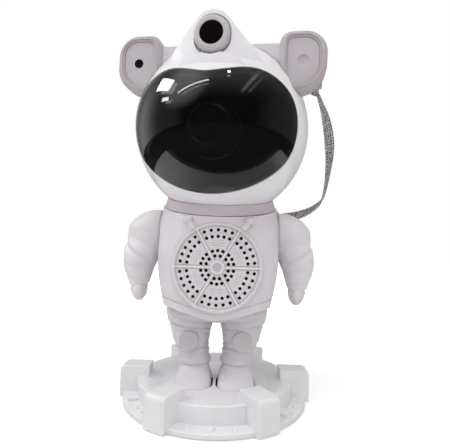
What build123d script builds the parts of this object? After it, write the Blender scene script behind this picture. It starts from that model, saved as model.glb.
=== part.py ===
from build123d import *
import os
from math import cos, hypot, radians, sin, sqrt, tan

# Star projector and speaker in the shape of a standing astronaut on a round dock.
# Units are millimetres. The origin is the centre of the dock's underside, +Z is up,
# and the figure faces -Y. "left" is the -X side and "right" the +X side.

# ---------------------------------------------------------------- driving sizes
# Dock
MAT_T = 0.8              # anti-slip mat under the dock
MAT_R = 34.0
FLANGE_R = 57.0
FLANGE_T = 2.5           # thickness of the flange around the dock wall
WALL_R = 48.5            # outside of the dock wall
DECK_Z = 13.2            # height of the dock's rim and front platform
DISH_R = 44.5            # where the deck starts to slope inwards
FLOOR_R = 29.0           # where the slope ends
FLOOR_Z = 9.6            # height of the floor around the boots
WELL_Z = 6.0             # height that the boot soles stand at
BLOCK_COUNT = 6
BLOCK_R = 59.5           # outer end of the radial blocks
BLOCK_IN_R = 41.3
BLOCK_W = 13.6
BLOCK_H = 18.9
COVER_T = 1.6            # plate that closes the dock's underside
CAVITY_R = 44.0
CAVITY_Z = 5.0
SCREW_R = 1.25
DOCK_SCREW_PITCH_R = 38.5
MAGNET_R = 7.0

# Boots and trousers
BOOT_X = 13.2            # sideways place of each boot
BOOT_Y = -8.0
BOOT_HALF_W = 11.3
BOOT_HALF_L = 19.5
BOOT_TOP_Z = 22.0
WELL_GAP = 1.1           # free room between boot and well
LEG_DEPTH_Y = -1.0
CUFF_Z = 25.6            # top of the rounded band around each ankle
KNEE_X = 16.1
KNEE_Z = 38.2
KNEE_R = 6.0
KNEE_T = 3.4
HEM_FRONT_Z = 53.4       # lower edge of the jacket, middle of the front
HEM_SIDE_Z = 59.4
HEM_GROOVE_W = 0.7
HEM_GROOVE_D = 0.45

# Jacket (upper body)
JACKET_HALF_W = 37.4
JACKET_FRONT_Y = -33.9
JACKET_WALL = 2.0
GRILLE_Z = 83.8
GRILLE_R = 25.5
GRILLE_HOLE_R = 1.0
POST_ANGLE = 33.4        # place of the two ball-ended posts, from the grille's top
SPEAKER_R = 24.6         # outside of the loudspeaker's basket
SHOULDER_Z = 105.0
SHOULDER_R = 13.2
ARM_GAP = 0.3
ARM_PIN_R = 3.0
ARM_PIN_L = 8.0

# Neck: a ring leaning forwards, with the ball centre of the head on its axis
NECK_TILT = 14.5
NECK_Y = 1.65
NECK_Z = 121.85
RING_H = 6.57
RING_TOP_R = 34.3
RING_BOTTOM_R = 36.3
STUB_R = 6.0
RUN_GAP = 0.05           # radial clearance of a turning fit

# Head, in its own frame about the ball centre
HELMET_R = 53.85
HELMET_WALL = 2.0
BALL_GAP = 0.3           # between spherical surfaces that slide
LINER_T = 1.15
LINER_INNER_ANGLE = 4.0  # edges of the friction liner, seen from the ball centre
LINER_OUTER_ANGLE = 12.5
HEAD_TURN = -8.4         # pose in which the head stands
HEAD_NOD = 2.8
HEAD_LEAN = 1.2
SPLIT_Y = 6.0            # seam between front and rear helmet shells
VISOR_PROUD = 1.35       # how far the visor stands out from the helmet
VISOR_T = 3.2
VISOR_HALF_W = 46.2
VISOR_TOP_Z = 22.8
VISOR_DIP = 4.0          # dip in the middle of the visor's top edge
VISOR_BOTTOM_Z = -42.0
LEDGE_W = 2.2
EAR_X = HELMET_R - 5.7   # ears: middle of each cup
EAR_Z = 35.0
EAR_W = 26.6
EAR_H = 34.6
EAR_FRONT_Y = -26.0
EAR_BACK_Y = -10.0
EAR_BEVEL = 2.2
LAMP_R = 9.6
LAMP_Z = HELMET_R - 13.7
LAMP_FRONT_Y = 5.4 - HELMET_R
LAMP_BACK_Y = LAMP_FRONT_Y + 16.0
LAMP_PIVOT_Y = LAMP_FRONT_Y + 8.0
LAMP_GAP = 0.45
LAMP_PIN_R = 1.2
HOOD_TOP_Z = HELMET_R - 0.3
HOOD_R = HELMET_R - 8.3  # the hood's front follows an upright cylinder
BROW_Z = LAMP_Z - 10.3   # top of the flat brow under the lamp
BROW_R = HELMET_R - 5.7
BROW_HALF_W = 12.5
CREST_BASE_Z = 22.0
DISH_T = 1.25            # steel dish inside the bottom of the helmet
LENS_Z = -6.0            # axis height of the nebula lens
LENS_R = 11.5
BULKHEAD_Y = -26.0
BULKHEAD_T = 2.0

# Ripple disc and its drive
GEAR_MODULE = 0.7
DISC_TEETH = 60
PINION_TEETH = 12
DISC_Z = LENS_Z - 12.0
DISC_Y = -24.6
DISC_T = 1.6

# Backpack and boards
BOARD_Y = 18.0
BOARD_T = 1.6
PACK_HALF_W = 22.0
PACK_Y = 44.0
PACK_Z0 = 67.0
PACK_Z1 = 112.0
PACK_WALL = 2.0
KEY_PITCH = 11.0
KEY_Z = 98.0
KEY_R = 3.2
KEY_TRAVEL = 0.6

# Strap
STRAP_W = 8.2
STRAP_T = 1.3
STRAP_CLIP_L = 13.0

MIN = (Align.CENTER, Align.CENTER, Align.MIN)
SEAT = 0.2               # gap between a moulding and the curved face it sits on


# ---------------------------------------------------------------- plain solids
def rod_z(r, z0, z1, x=0.0, y=0.0):
    return Pos(x, y, z0) * Cylinder(r, z1 - z0, align=MIN)


def rod_y(r, y0, y1, x=0.0, z=0.0):
    return Pos(x, y0, z) * Rot(-90, 0, 0) * Cylinder(r, y1 - y0, align=MIN)


def rod_x(r, x0, x1, y=0.0, z=0.0):
    return Pos(x0, y, z) * Rot(0, 90, 0) * Cylinder(r, x1 - x0, align=MIN)


def block(x0, x1, y0, y1, z0, z1):
    return Pos((x0 + x1) / 2, (y0 + y1) / 2, (z0 + z1) / 2) * Box(x1 - x0, y1 - y0, z1 - z0)


def turned(points):
    """Solid of revolution about Z from (radius, height) points."""
    face = Plane.XZ * make_face(Polyline(*points, close=True))
    return revolve(face, Axis.Z)


def turned_y(points, x=0.0, z=0.0):
    """Solid of revolution about the Y direction from (radius, y) points."""
    return Pos(x, 0, z) * Rot(-90, 0, 0) * turned(points)


def both_sides(solid):
    return solid + mirror(solid, Plane.YZ)


def ball(r):
    """Sphere with its poles on the X axis, away from the features of the head."""
    return Rot(0, 90, 0) * Sphere(r)


# ---------------------------------------------------------------- frames
def neck_frame():
    return Pos(0, NECK_Y, NECK_Z) * Rot(NECK_TILT, 0, 0)


def ball_height():
    """Height of the ball centre above the neck plane, along the neck axis."""
    return RING_H + sqrt(HELMET_R ** 2 - RING_TOP_R ** 2)


def head_frame():
    centre = neck_frame() * Pos(0, 0, ball_height())
    place = centre.position
    turn = Rot(0, 0, HEAD_TURN) * Rot(HEAD_NOD, 0, 0) * Rot(0, HEAD_LEAN, 0)
    return Pos(place.X, place.Y, place.Z) * turn


# ---------------------------------------------------------------- dock
def boot_section(z, half_w, half_l, y, grow=0.0):
    corner = 0.9 * min(half_w, half_l) + grow
    outline = RectangleRounded(2 * (half_w + grow), 2 * (half_l + grow), corner)
    return Pos(0, y, z) * outline


def well(side):
    foot = boot_section(WELL_Z, BOOT_HALF_W, BOOT_HALF_L, BOOT_Y, WELL_GAP)
    return Pos(side * BOOT_X, 0, 0) * extrude(foot, DECK_Z)


def dock_block():
    body = block(-BLOCK_W / 2, BLOCK_W / 2, -BLOCK_R, -BLOCK_IN_R, MAT_T, BLOCK_H)
    top = body.edges().group_by(Axis.Z)[-1]
    outer = top.sort_by(Axis.Y)[0]
    body = fillet(outer, 2.6)
    sides = body.edges().filter_by(Axis.Z).group_by(Axis.Y)[0]
    return fillet(sides, 0.8)


def rivet(r, angle, radius, z):
    turn = Rot(0, 0, angle)
    dome = Pos(0, -radius, z) * Sphere(r) & rod_z(2 * r, z - 0.2, z + r, 0, -radius)
    return turn * dome


def dock_trim():
    """Rivets and small bosses that stand on the flange and the front platform."""
    flange_z = MAT_T + FLANGE_T
    middle_r = (FLANGE_R + WALL_R) / 2
    trim = rivet(2.0, 0, middle_r - 0.4, flange_z)
    for side in (-1, 1):
        trim += rivet(1.2, side * 13.5, middle_r + 0.6, flange_z)
        trim += rivet(1.3, side * 21.3, WALL_R - 6.8, DECK_Z)
    for index in range(1, BLOCK_COUNT):
        middle = index * 360 / BLOCK_COUNT
        lug = block(-3.4, 3.4, -(middle_r + 1.6), -WALL_R + 0.5, flange_z - 1, flange_z + 1.8)
        trim += Rot(0, 0, middle - 9) * lug
        trim += rivet(1.6, middle + 5, middle_r, flange_z)
        trim += rivet(1.2, middle + 13, middle_r + 0.4, flange_z)
    return trim


def dock_deck():
    """Top moulding of the dock: flange, wall, sloping deck, blocks and boot wells."""
    flange_z = MAT_T + FLANGE_T
    rim = 0.5
    body = turned([(0, MAT_T), (FLANGE_R, MAT_T), (FLANGE_R, flange_z - rim), (FLANGE_R - rim, flange_z),
                   (WALL_R, flange_z), (WALL_R, DECK_Z - rim), (WALL_R - rim, DECK_Z), (0, DECK_Z)])
    dish = turned([(0, FLOOR_Z), (FLOOR_R, FLOOR_Z), (DISH_R, DECK_Z), (DISH_R, BLOCK_H), (0, BLOCK_H)])
    half = radians(180 / BLOCK_COUNT)
    reach = FLANGE_R / cos(half)
    sector = make_face(Polyline((0, 0), (-reach * sin(half), -reach * cos(half)),
                                (reach * sin(half), -reach * cos(half)), close=True))
    body -= dish - extrude(sector, BLOCK_H)
    for index in range(BLOCK_COUNT):
        body += Rot(0, 0, (index + 0.5) * 360 / BLOCK_COUNT) * dock_block()
    body += dock_trim()
    for side in (-1, 1):
        body -= well(side)
    body -= rod_z(CAVITY_R, 0, CAVITY_Z)
    for x, y in dock_screw_places():
        body += rod_z(3.2, MAT_T + COVER_T, CAVITY_Z + 1, x, y)
        body -= rod_z(SCREW_R + RUN_GAP, 0, CAVITY_Z + 3.5, x, y)
    return body


def dock_screw_places():
    step = DOCK_SCREW_PITCH_R * sqrt(0.5)
    return [(sx * step, sy * step) for sx in (-1, 1) for sy in (-1, 1)]


def screw_z(x, y, z_head, length, head_r=2.5, head_h=1.1):
    """Countersink-free pan screw that points up from z_head."""
    return rod_z(head_r, z_head, z_head + head_h, x, y) + rod_z(SCREW_R, z_head, z_head + length, x, y)


def dock_screws():
    return [screw_z(x, y, MAT_T + 0.1, CAVITY_Z + 2) for x, y in dock_screw_places()]


def dock_cover():
    plate = rod_z(CAVITY_R - 0.3, MAT_T, MAT_T + COVER_T)
    for x, y in dock_screw_places():
        plate -= rod_z(2.7, 0, MAT_T + 1.2, x, y)
        plate -= rod_z(SCREW_R + RUN_GAP, 0, CAVITY_Z, x, y)
    return plate


def dock_mat():
    return rod_z(MAT_R, 0, MAT_T)


def ballast_plate():
    base = MAT_T + COVER_T
    plate = rod_z(MAT_R - 1, base, CAVITY_Z - 0.1)
    for side in (-1, 1):
        plate -= rod_z(MAGNET_R + 0.2, 0, BLOCK_H, side * BOOT_X, BOOT_Y)
    return plate


def dock_magnets():
    base = MAT_T + COVER_T
    return [rod_z(MAGNET_R, base, CAVITY_Z - 0.1, side * BOOT_X, BOOT_Y) for side in (-1, 1)]


# ---------------------------------------------------------------- boots and trousers
def boot(side):
    sections = [
        boot_section(WELL_Z, BOOT_HALF_W - 0.4, BOOT_HALF_L - 0.6, BOOT_Y),
        boot_section(WELL_Z + 3, BOOT_HALF_W, BOOT_HALF_L, BOOT_Y),
        boot_section(DECK_Z, BOOT_HALF_W - 0.2, BOOT_HALF_L - 1.3, BOOT_Y + 0.6),
        boot_section(DECK_Z + 4, BOOT_HALF_W - 1.4, BOOT_HALF_L - 6.0, BOOT_Y + 3.5),
        boot_section(BOOT_TOP_Z, BOOT_HALF_W - 2.4, 9.4, LEG_DEPTH_Y - 0.6),
    ]
    body = loft(sections)
    body -= rod_z(MAGNET_R + 0.1, 0, WELL_Z + 1.3, 0, BOOT_Y)
    return Pos(side * BOOT_X, 0, 0) * body


def boot_plates():
    return [rod_z(MAGNET_R, WELL_Z, WELL_Z + 1.2, side * BOOT_X, BOOT_Y) for side in (-1, 1)]


def leg():
    """Right leg as a loft of ellipses: (z, centre x, half width, half depth, shift in y)."""
    rows = [
        (BOOT_TOP_Z, 13.6, 9.9, 11.0, 0.0),
        (BOOT_TOP_Z + 0.8, 13.6, 10.6, 11.8, 0.0),
        (CUFF_Z - 0.8, 13.7, 10.6, 11.8, 0.0),
        (CUFF_Z, 13.8, 9.8, 11.0, 0.0),
        (CUFF_Z + 0.8, 13.9, 9.6, 10.9, 0.0),
        (CUFF_Z + 3.6, 14.3, 10.1, 11.5, 0.0),
        (KNEE_Z - 6, 15.3, 11.1, 12.6, 0.0),
        (KNEE_Z, 16.1, 12.5, 14.2, 0.2),
        (KNEE_Z + 7, 16.5, 13.8, 16.0, 0.8),
        (KNEE_Z + 14, 16.4, 15.9, 19.7, 0.3),
        (KNEE_Z + 18.6, 16.4, 16.2, 21.3, 0.0),
        (KNEE_Z + 21, 16.2, 13.6, 20.0, 0.0),
    ]
    sections = [Pos(x, LEG_DEPTH_Y + dy, z) * Ellipse(half_w, half_d) for z, x, half_w, half_d, dy in rows]
    return loft(sections)


def trousers():
    pelvis = loft([
        Pos(0, LEG_DEPTH_Y, KNEE_Z + 10.6) * RectangleRounded(34, 30, 13),
        Pos(0, LEG_DEPTH_Y, KNEE_Z + 16) * RectangleRounded(58, 46, 22),
        Pos(0, LEG_DEPTH_Y, KNEE_Z + 21) * RectangleRounded(60, 51, 23),
    ])
    body = both_sides(leg()) + pelvis
    for side in (-1, 1):
        body -= rod_y(KNEE_R + 0.1, -40, knee_seat_y(), side * KNEE_X, KNEE_Z)
    return body


def knee_seat_y():
    return LEG_DEPTH_Y - 13.0


def knee_pads():
    pads = []
    for side in (-1, 1):
        pad = rod_y(KNEE_R, knee_seat_y() - KNEE_T, knee_seat_y(), side * KNEE_X, KNEE_Z)
        rim = pad.edges().group_by(Axis.Y)[0]
        pads.append(fillet(rim, 0.6))
    return pads


# ---------------------------------------------------------------- jacket
def jacket_rows():
    """Outer sections: (z, half width, front y, back y, front corner radius, back corner radius)."""
    w = JACKET_HALF_W
    front = JACKET_FRONT_Y
    neck = NECK_Z - 10
    return [
        (HEM_FRONT_Z - 3.4, w - 6.4, front + 3.4, 27.5, 17.5, 25.5),
        (HEM_SIDE_Z + 2.6, w - 4.2, front + 1.8, 29.0, 18.0, 27.0),
        (GRILLE_Z - 5.8, w - 1.1, front + 0.4, 31.0, 19.0, 28.5),
        (GRILLE_Z + 10.2, w, front, 33.0, 22.0, 30.5),
        (neck, w, front, 35.6, 31.0, 32.0),
        (neck + 26, w - 2.0, front + 0.6, 37.6, 32.0, 32.0),
    ]


def jacket_outline(half_w, front, back, r_front, r_back):
    """Level outline with tighter corners at the front than at the back."""
    corners = [(1, back, r_back), (-1, back, r_back), (-1, front, r_front), (1, front, r_front)]
    edges = []
    start = (half_w, front + r_front)
    for index, (side, y, r) in enumerate(corners):
        inward = -1 if y == back else 1
        on_side = (side * half_w, y + inward * r)
        on_end = (side * (half_w - r), y)
        bulge = r * (1 - sqrt(0.5))
        middle = (side * (half_w - bulge), y + inward * bulge)
        first, last = (on_side, on_end) if index % 2 == 0 else (on_end, on_side)
        edges += [Line(start, first), ThreePointArc(first, middle, last)]
        start = last
    return make_face(edges)


def jacket_loft(inset=0.0):
    sections = []
    for z, half_w, front, back, r_front, r_back in jacket_rows():
        outline = jacket_outline(half_w - inset, front + inset, back - inset, r_front - inset, r_back - inset)
        sections.append(Pos(0, 0, z) * outline)
    return loft(sections)


def hem_cut():
    """Everything below the jacket's curved lower edge."""
    low = HEM_FRONT_Z - 20
    middle = (HEM_FRONT_Z + HEM_SIDE_Z) / 2 + 0.6
    half = JACKET_HALF_W
    edge = Spline((-half, HEM_SIDE_Z), (-half * 0.45, middle), (0, HEM_FRONT_Z),
                  (half * 0.45, middle), (half, HEM_SIDE_Z))
    rest = Polyline((half, HEM_SIDE_Z), (half + 9, HEM_SIDE_Z), (half + 9, low), (-half - 9, low),
                    (-half - 9, HEM_SIDE_Z), (-half, HEM_SIDE_Z))
    return extrude(Plane.XZ * make_face([edge, rest]), 60, both=True)


def hem_groove():
    """Shallow line that sets off the jacket's lower band, from the sides to the grille."""
    half = JACKET_HALF_W + 3
    rise = HEM_SIDE_Z + 6.4
    line = []
    for drop in (0, HEM_GROOVE_W):
        z = rise - drop
        line.append([(14, z - 4.6), (20, z - 3.0), (28, z - 1.0), (half, z)])
    upper, lower = line
    edges = [Spline(*upper), Line(upper[-1], lower[-1]), Spline(*reversed(lower)), Line(lower[0], upper[0])]
    front = extrude(Plane.XZ * make_face(edges), 60)
    rear = block(-half, half, -0.1, 60, rise - HEM_GROOVE_W, rise)
    return both_sides(front) + rear - jacket_loft(HEM_GROOVE_D)


def above_neck():
    return neck_frame() * Cylinder(80, 60, align=MIN)


def grille_boss():
    front = JACKET_FRONT_Y - 0.1
    return turned_y([(0, front), (GRILLE_R + 0.7, front), (GRILLE_R + 3.0, front + 8), (0, front + 8)],
                    z=GRILLE_Z)


def hose_post(side):
    """Ball-ended fitting on a short stem above the grille."""
    angle = radians(POST_ANGLE)
    root = GRILLE_R + 0.4
    tip = GRILLE_R + 7.4
    y = JACKET_FRONT_Y - 0.3
    stem = extrude(Rectangle(3.0, tip - root + 2), 3.0)
    stem = Pos(0, y + 1.6, 0) * Rot(90, 0, 0) * stem
    middle = (root + tip) / 2
    stem = Rot(0, side * POST_ANGLE, 0) * stem
    stem = Pos(side * middle * sin(angle), 0, GRILLE_Z + middle * cos(angle)) * stem
    ball = Pos(side * tip * sin(angle), y, GRILLE_Z + tip * cos(angle)) * Sphere(2.9)
    return stem + ball


def jacket_body():
    """Both jacket shells in one, before they are split."""
    outer = jacket_loft()
    outer += grille_boss()
    for side in (-1, 1):
        inner_x = JACKET_HALF_W - 4
        outer += rod_x(SHOULDER_R - 0.6, min(side * inner_x, side * JACKET_HALF_W),
                       max(side * inner_x, side * JACKET_HALF_W), 0, SHOULDER_Z)
    body = outer - jacket_loft(JACKET_WALL)
    ring_y = JACKET_FRONT_Y + 3.4
    body += rod_y(GRILLE_R + 1.2, JACKET_FRONT_Y + 0.6, ring_y, 0, GRILLE_Z)
    for side in (-1, 1):
        body += hose_post(side)
        for z in (68.0, 96.0):
            body += rod_y(2.2, BOARD_Y + BOARD_T, 30, side * 18, z) & jacket_loft(0.5)
    body -= rod_y(GRILLE_R + 0.1, JACKET_FRONT_Y - 8, grille_seat_y(), 0, GRILLE_Z)
    body -= rod_y(GRILLE_R - 3, JACKET_FRONT_Y - 8, ring_y, 0, GRILLE_Z)
    body -= rod_y(SPEAKER_R + 0.1, ring_y, ring_y + 14, 0, GRILLE_Z)
    body -= rod_x(ARM_PIN_R + RUN_GAP, -60, 60, 0, SHOULDER_Z)
    body -= above_neck()
    body -= hem_cut()
    return body - hem_groove()


def grille_seat_y():
    return JACKET_FRONT_Y + 1.7


def jacket_front(body):
    return body & block(-70, 70, -70, 0, 40, 160)


def jacket_rear(body):
    return body & block(-70, 70, 0, 70, 40, 160)


# ---------------------------------------------------------------- speaker
def grille_holes():
    """Sound holes in six sectors, five rows of positions counted from the hub."""
    rows = [(21.4, 5, 11.0), (17.6, 5, 11.0), (9.5, 3, 18.0), (6.6, 2, 26.0)]
    places = []
    for sector in range(6):
        for radius, count, step in rows:
            for index in range(count):
                angle = sector * 60 + 30 + (index - (count - 1) / 2) * step
                places.append((radius * cos(radians(angle)), radius * sin(radians(angle))))
    return places


def speaker_grille():
    """Pierced disc with a proud rim, six spokes, a hub and rows of small dashes."""
    back = grille_seat_y()
    face = back - 1.5
    ridge = face - 0.7
    rim = face - 1.3
    plate = turned_y([(0, back), (GRILLE_R, back), (GRILLE_R, rim + 0.3), (GRILLE_R - 0.3, rim),
                      (GRILLE_R - 1.2, rim), (GRILLE_R - 1.6, face), (20.1, face), (19.8, ridge),
                      (19.3, ridge), (19.0, face), (4.4, face), (4.1, rim - 0.2), (2.6, rim - 0.2),
                      (2.2, rim + 0.6), (0, rim + 0.6)])
    for index in range(6):
        spoke = block(3.8, GRILLE_R - 1.3, rim + 0.5, back - 0.4, -0.6, 0.6)
        plate += Rot(0, index * 60, 0) * spoke
    for sector in range(6):
        for radius in (11.9, 13.4, 14.9):
            for turn in (-9, 9):
                dash = block(-1.2, 1.2, face - 0.45, back - 0.4, radius - 0.25, radius + 0.25)
                plate += Rot(0, sector * 60 + turn, 0) * dash
    hole = rod_y(GRILLE_HOLE_R, rim - 1, back + 1)
    plate -= [Pos(x, 0, z) * hole for x, z in grille_holes()]
    return Pos(0, 0, GRILLE_Z) * plate


def speaker_frame():
    y = JACKET_FRONT_Y + 3.4
    return turned_y([(SPEAKER_R - 3.5, y), (SPEAKER_R, y), (SPEAKER_R, y + 1.2), (SPEAKER_R - 1.6, y + 1.2),
                     (13.6, y + 11), (0, y + 11), (0, y + 9.8), (12.8, y + 9.8), (SPEAKER_R - 3.5, y + 1.0)],
                    z=GRILLE_Z)


def speaker_cone():
    y = JACKET_FRONT_Y + 3.4
    edge = SPEAKER_R - 3.6
    return turned_y([(0, y + 5.0), (5.0, y + 5.8), (9.0, y + 6.3), (edge, y + 0.3), (edge, y + 0.9),
                     (9.0, y + 7.1), (6.0, y + 7.4), (6.0, y + 9.8), (5.2, y + 9.8), (5.2, y + 6.6),
                     (0, y + 5.8)],
                    z=GRILLE_Z)


def speaker_magnet():
    y = JACKET_FRONT_Y + 14.4
    return turned_y([(0, y), (12.5, y), (12.5, y + 6.5), (11.8, y + 7.2), (0, y + 7.2)], z=GRILLE_Z)


# ---------------------------------------------------------------- boards, backpack, keys
def main_board():
    board = block(-22, 22, BOARD_Y, BOARD_Y + BOARD_T, 64, 100)
    board += block(-8, 8, BOARD_Y - 2.2, BOARD_Y, 76, 88)
    board += rod_y(4.0, BOARD_Y - 7, BOARD_Y, 15, 71)
    board += block(-19, -11, BOARD_Y - 4.5, BOARD_Y, 90, 97)
    return board


def backpack_shell():
    outer = block(-PACK_HALF_W, PACK_HALF_W, 20, PACK_Y, PACK_Z0, PACK_Z1)
    rear = outer.edges().group_by(Axis.Y)[-1]
    upright = outer.edges().filter_by(Axis.Y)
    outer = fillet(rear + upright, 4.5)
    hollow = block(-PACK_HALF_W + PACK_WALL, PACK_HALF_W - PACK_WALL, 0, PACK_Y - PACK_WALL,
                   PACK_Z0 + PACK_WALL, PACK_Z1 - PACK_WALL)
    body = outer - hollow - jacket_loft(-SEAT)
    for side in (-1, 1):
        for z in (PACK_Z0 + 6.5, PACK_Z1 - 6):
            body += rod_y(1.8, key_board_y() + 1.2, PACK_Y - 1, side * (PACK_HALF_W - 6.5), z)
    for x in key_places():
        body -= rod_y(KEY_R + 0.1, PACK_Y - 5, PACK_Y + 2, x, KEY_Z)
    body -= block(-4.7, 4.7, PACK_Y - 5, PACK_Y + 2, USB_Z - 1.85, USB_Z + 1.85)
    return body


USB_Z = PACK_Z0 + 7.0


def key_places():
    return [-KEY_PITCH, 0.0, KEY_PITCH]


def key_board_y():
    return PACK_Y - PACK_WALL - 4.4


def key_board():
    y = key_board_y()
    return block(-18, 18, y, y + 1.2, PACK_Z0 + 4, PACK_Z1 - 4)


def key_switches():
    y = key_board_y() + 1.2
    top = PACK_Y - PACK_WALL - 1.0 - KEY_TRAVEL - 0.1
    return [block(x - 3, x + 3, y, top, KEY_Z - 3, KEY_Z + 3) for x in key_places()]


def key_cap(x):
    inner = PACK_Y - PACK_WALL
    cap = rod_y(KEY_R, inner - 0.5, PACK_Y + 1.2, x, KEY_Z)
    cap = fillet(cap.edges().group_by(Axis.Y)[-1], 0.5)
    return cap + rod_y(KEY_R + 0.7, inner - 1.0, inner - 0.1, x, KEY_Z)


def usb_socket():
    y = key_board_y() + 1.2
    body = block(-4.5, 4.5, y, PACK_Y - 0.1, USB_Z - 1.65, USB_Z + 1.65)
    body -= block(-4.1, 4.1, y + 1.2, PACK_Y + 1, USB_Z - 1.25, USB_Z + 1.25)
    return body + block(-3.3, 3.3, y + 1, PACK_Y - 1.2, USB_Z - 0.35, USB_Z + 0.35)


# ---------------------------------------------------------------- arms
def arm_rows():
    """Level sections of the right arm: (z, inner x, outer x, half depth, middle y)."""
    top = SHOULDER_Z + SHOULDER_R
    wall = JACKET_HALF_W
    return [
        (top + 0.4, wall - 4, wall + 6.5, 4.0, 0.0),
        (top - 2.2, wall - 7, wall + 13.1, 8.6, 0.0),
        (top - 6.2, wall - 7, wall + 18.6, 11.8, 0.0),
        (top - 12.2, wall - 6, wall + 22.2, 13.3, 0.0),
        (top - 18.6, wall - 4, wall + 22.2, 12.6, 0.0),
        (top - 25.2, wall - 1, wall + 24.0, 12.4, -0.2),
        (top - 32.2, wall + 2.4, wall + 25.0, 11.8, -0.4),
        (top - 39.2, wall + 5.2, wall + 23.8, 10.2, -0.6),
        (top - 45.2, wall + 6.8, wall + 21.4, 8.2, -0.9),
        (top - 49.2, wall + 8.4, wall + 19.8, 6.6, -1.1),
        (top - 52.7, wall + 8.5, wall + 19.2, 6.2, -1.2),
        (top - 56.7, wall + 10.0, wall + 17.4, 4.6, -1.2),
        (top - 59.0, wall + 12.0, wall + 15.0, 1.9, -1.2),
    ]


def arm():
    """Right arm: shoulder, puffed sleeve, wrist and mitten with a thumb, cut flat at the body."""
    x0 = JACKET_HALF_W + ARM_GAP
    sections = []
    for z, inner, outer, half_d, y in arm_rows():
        sections.append(Pos((inner + outer) / 2, y, z) * Ellipse((outer - inner) / 2, half_d))
    body = loft(sections)
    z_hand = arm_rows()[-3][0]
    body += Pos(x0 + 12.8, -6.2, z_hand + 0.6) * scale(Sphere(3.1), by=(1, 1, 1.3))
    body -= block(-60, x0, -60, 60, 0, 200)
    body -= rod_x(ARM_PIN_R + RUN_GAP, 0, x0 + ARM_PIN_L + 0.3, 0, SHOULDER_Z)
    return body


def arm_pivots():
    inner = JACKET_HALF_W - JACKET_WALL
    tip = JACKET_HALF_W + ARM_GAP + ARM_PIN_L
    pin = rod_x(ARM_PIN_R, inner - 1.6, tip, 0, SHOULDER_Z)
    pin += rod_x(ARM_PIN_R + 1.6, inner - 1.8, inner - SEAT, 0, SHOULDER_Z)
    return [pin, mirror(pin, Plane.YZ)]


# ---------------------------------------------------------------- neck
def bowl_r():
    return HELMET_R + BALL_GAP + LINER_T + BALL_GAP


def neck_ring():
    """Visible collar with a spherical bowl inside and a stub that turns in the body."""
    centre = ball_height()
    low = centre - bowl_r() - 5.2
    body = turned([(0, SEAT + 0.1), (RING_BOTTOM_R, SEAT + 0.1), (RING_TOP_R, RING_H), (0, RING_H)])
    body += Pos(0, 0, centre) * Sphere(bowl_r() + 2.0) & rod_z(31, low, SEAT + 1)
    body += rod_z(14, low, SEAT + 1)
    pocket = Pos(0, 0, centre) * Sphere(bowl_r()) & rod_z(60, low, SEAT + 0.1)
    body -= pocket
    body -= Pos(0, 0, centre) * Sphere(HELMET_R + BALL_GAP)
    body -= rod_z(10.1, low + 0.8, 10)
    body += rod_z(STUB_R, low - 5.4, low + 0.4)
    return neck_frame() * body


def neck_magnet():
    low = ball_height() - bowl_r() - 4.4
    return neck_frame() * rod_z(10, low, low + 3.2)


def neck_seat():
    """Bearing plate across the top of the body for the collar's stub."""
    low = ball_height() - bowl_r() - 5.2
    plate = neck_frame() * Pos(0, 0, low - 2.6) * Cylinder(60, 2.4, align=MIN)
    plate = plate & jacket_loft(JACKET_WALL + 0.15) & block(-29, 29, -8, 60, 80, 150)
    plate += neck_frame() * rod_z(STUB_R + 3, low - 5.2, low - 0.2)
    return plate - neck_frame() * rod_z(STUB_R + RUN_GAP, low - 9, low + 9)


def friction_ring():
    """Thin liner between the bowl and the helmet's ball."""
    outer = Sphere(HELMET_R + BALL_GAP + LINER_T)
    liner = outer - Sphere(HELMET_R + BALL_GAP)
    low = -(HELMET_R + 5)
    wide = (HELMET_R + BALL_GAP) * sin(radians(LINER_OUTER_ANGLE))
    narrow = (HELMET_R + BALL_GAP) * sin(radians(LINER_INNER_ANGLE))
    zone = rod_z(wide, low, -20) - rod_z(narrow, low, -20)
    return neck_frame() * Pos(0, 0, ball_height()) * (liner & zone)


# ---------------------------------------------------------------- helmet and visor
def visor_outline(grow=0.0):
    """Face opening seen from the front: wide, with a shallow dip in its top edge."""
    top = VISOR_TOP_Z
    low = VISOR_BOTTOM_Z
    middle = -3.0
    shares = [(0.27, 0.93), (0.54, 0.99), (0.76, 0.86), (0.92, 0.59), (1.0, 0.18), (0.99, -0.20),
              (0.90, -0.48), (0.71, -0.72), (0.42, -0.91)]
    right = []
    for x, z in shares:
        reach = top - middle if z > 0 else middle - low
        right.append((x * VISOR_HALF_W, middle + z * reach))
    points = [(0, top - VISOR_DIP)] + right + [(0, low)] + [(-x, z) for x, z in reversed(right)]
    grown = []
    for x, z in points:
        reach = hypot(x, z - middle)
        grown.append((x * (1 + grow / reach), middle + (z - middle) * (1 + grow / reach)))
    return make_face(Spline(*grown, periodic=True))


def visor_prism(grow=0.0):
    return Rot(90, 0, 0) * extrude(visor_outline(grow), 75) - block(-80, 80, -15, 5, -80, 80)


def crest(grow=0.0):
    """Tent-shaped hood from the lamp back into the helmet's crown, and the brow below the lamp."""
    front = tent_section(-HOOD_R, HOOD_TOP_Z + grow, 10.8 + grow, 50)
    rear = tent_section(-4.0, HELMET_R - 0.9 + grow, 14.0 + grow, 42)
    hood = loft([front, rear]) & rod_z(HOOD_R + grow, 0, 90)
    low = BROW_HALF_W + BROW_Z - CREST_BASE_Z
    brow = make_face(Polyline((-BROW_HALF_W, BROW_Z), (BROW_HALF_W, BROW_Z), (low, CREST_BASE_Z),
                              (-low, CREST_BASE_Z), close=True))
    brow = Plane(origin=(0, -BROW_R, 0), x_dir=(1, 0, 0), z_dir=(0, -1, 0)) * brow
    return hood + (extrude(brow, -14) & rod_z(BROW_R + grow, 0, 90))


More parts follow.
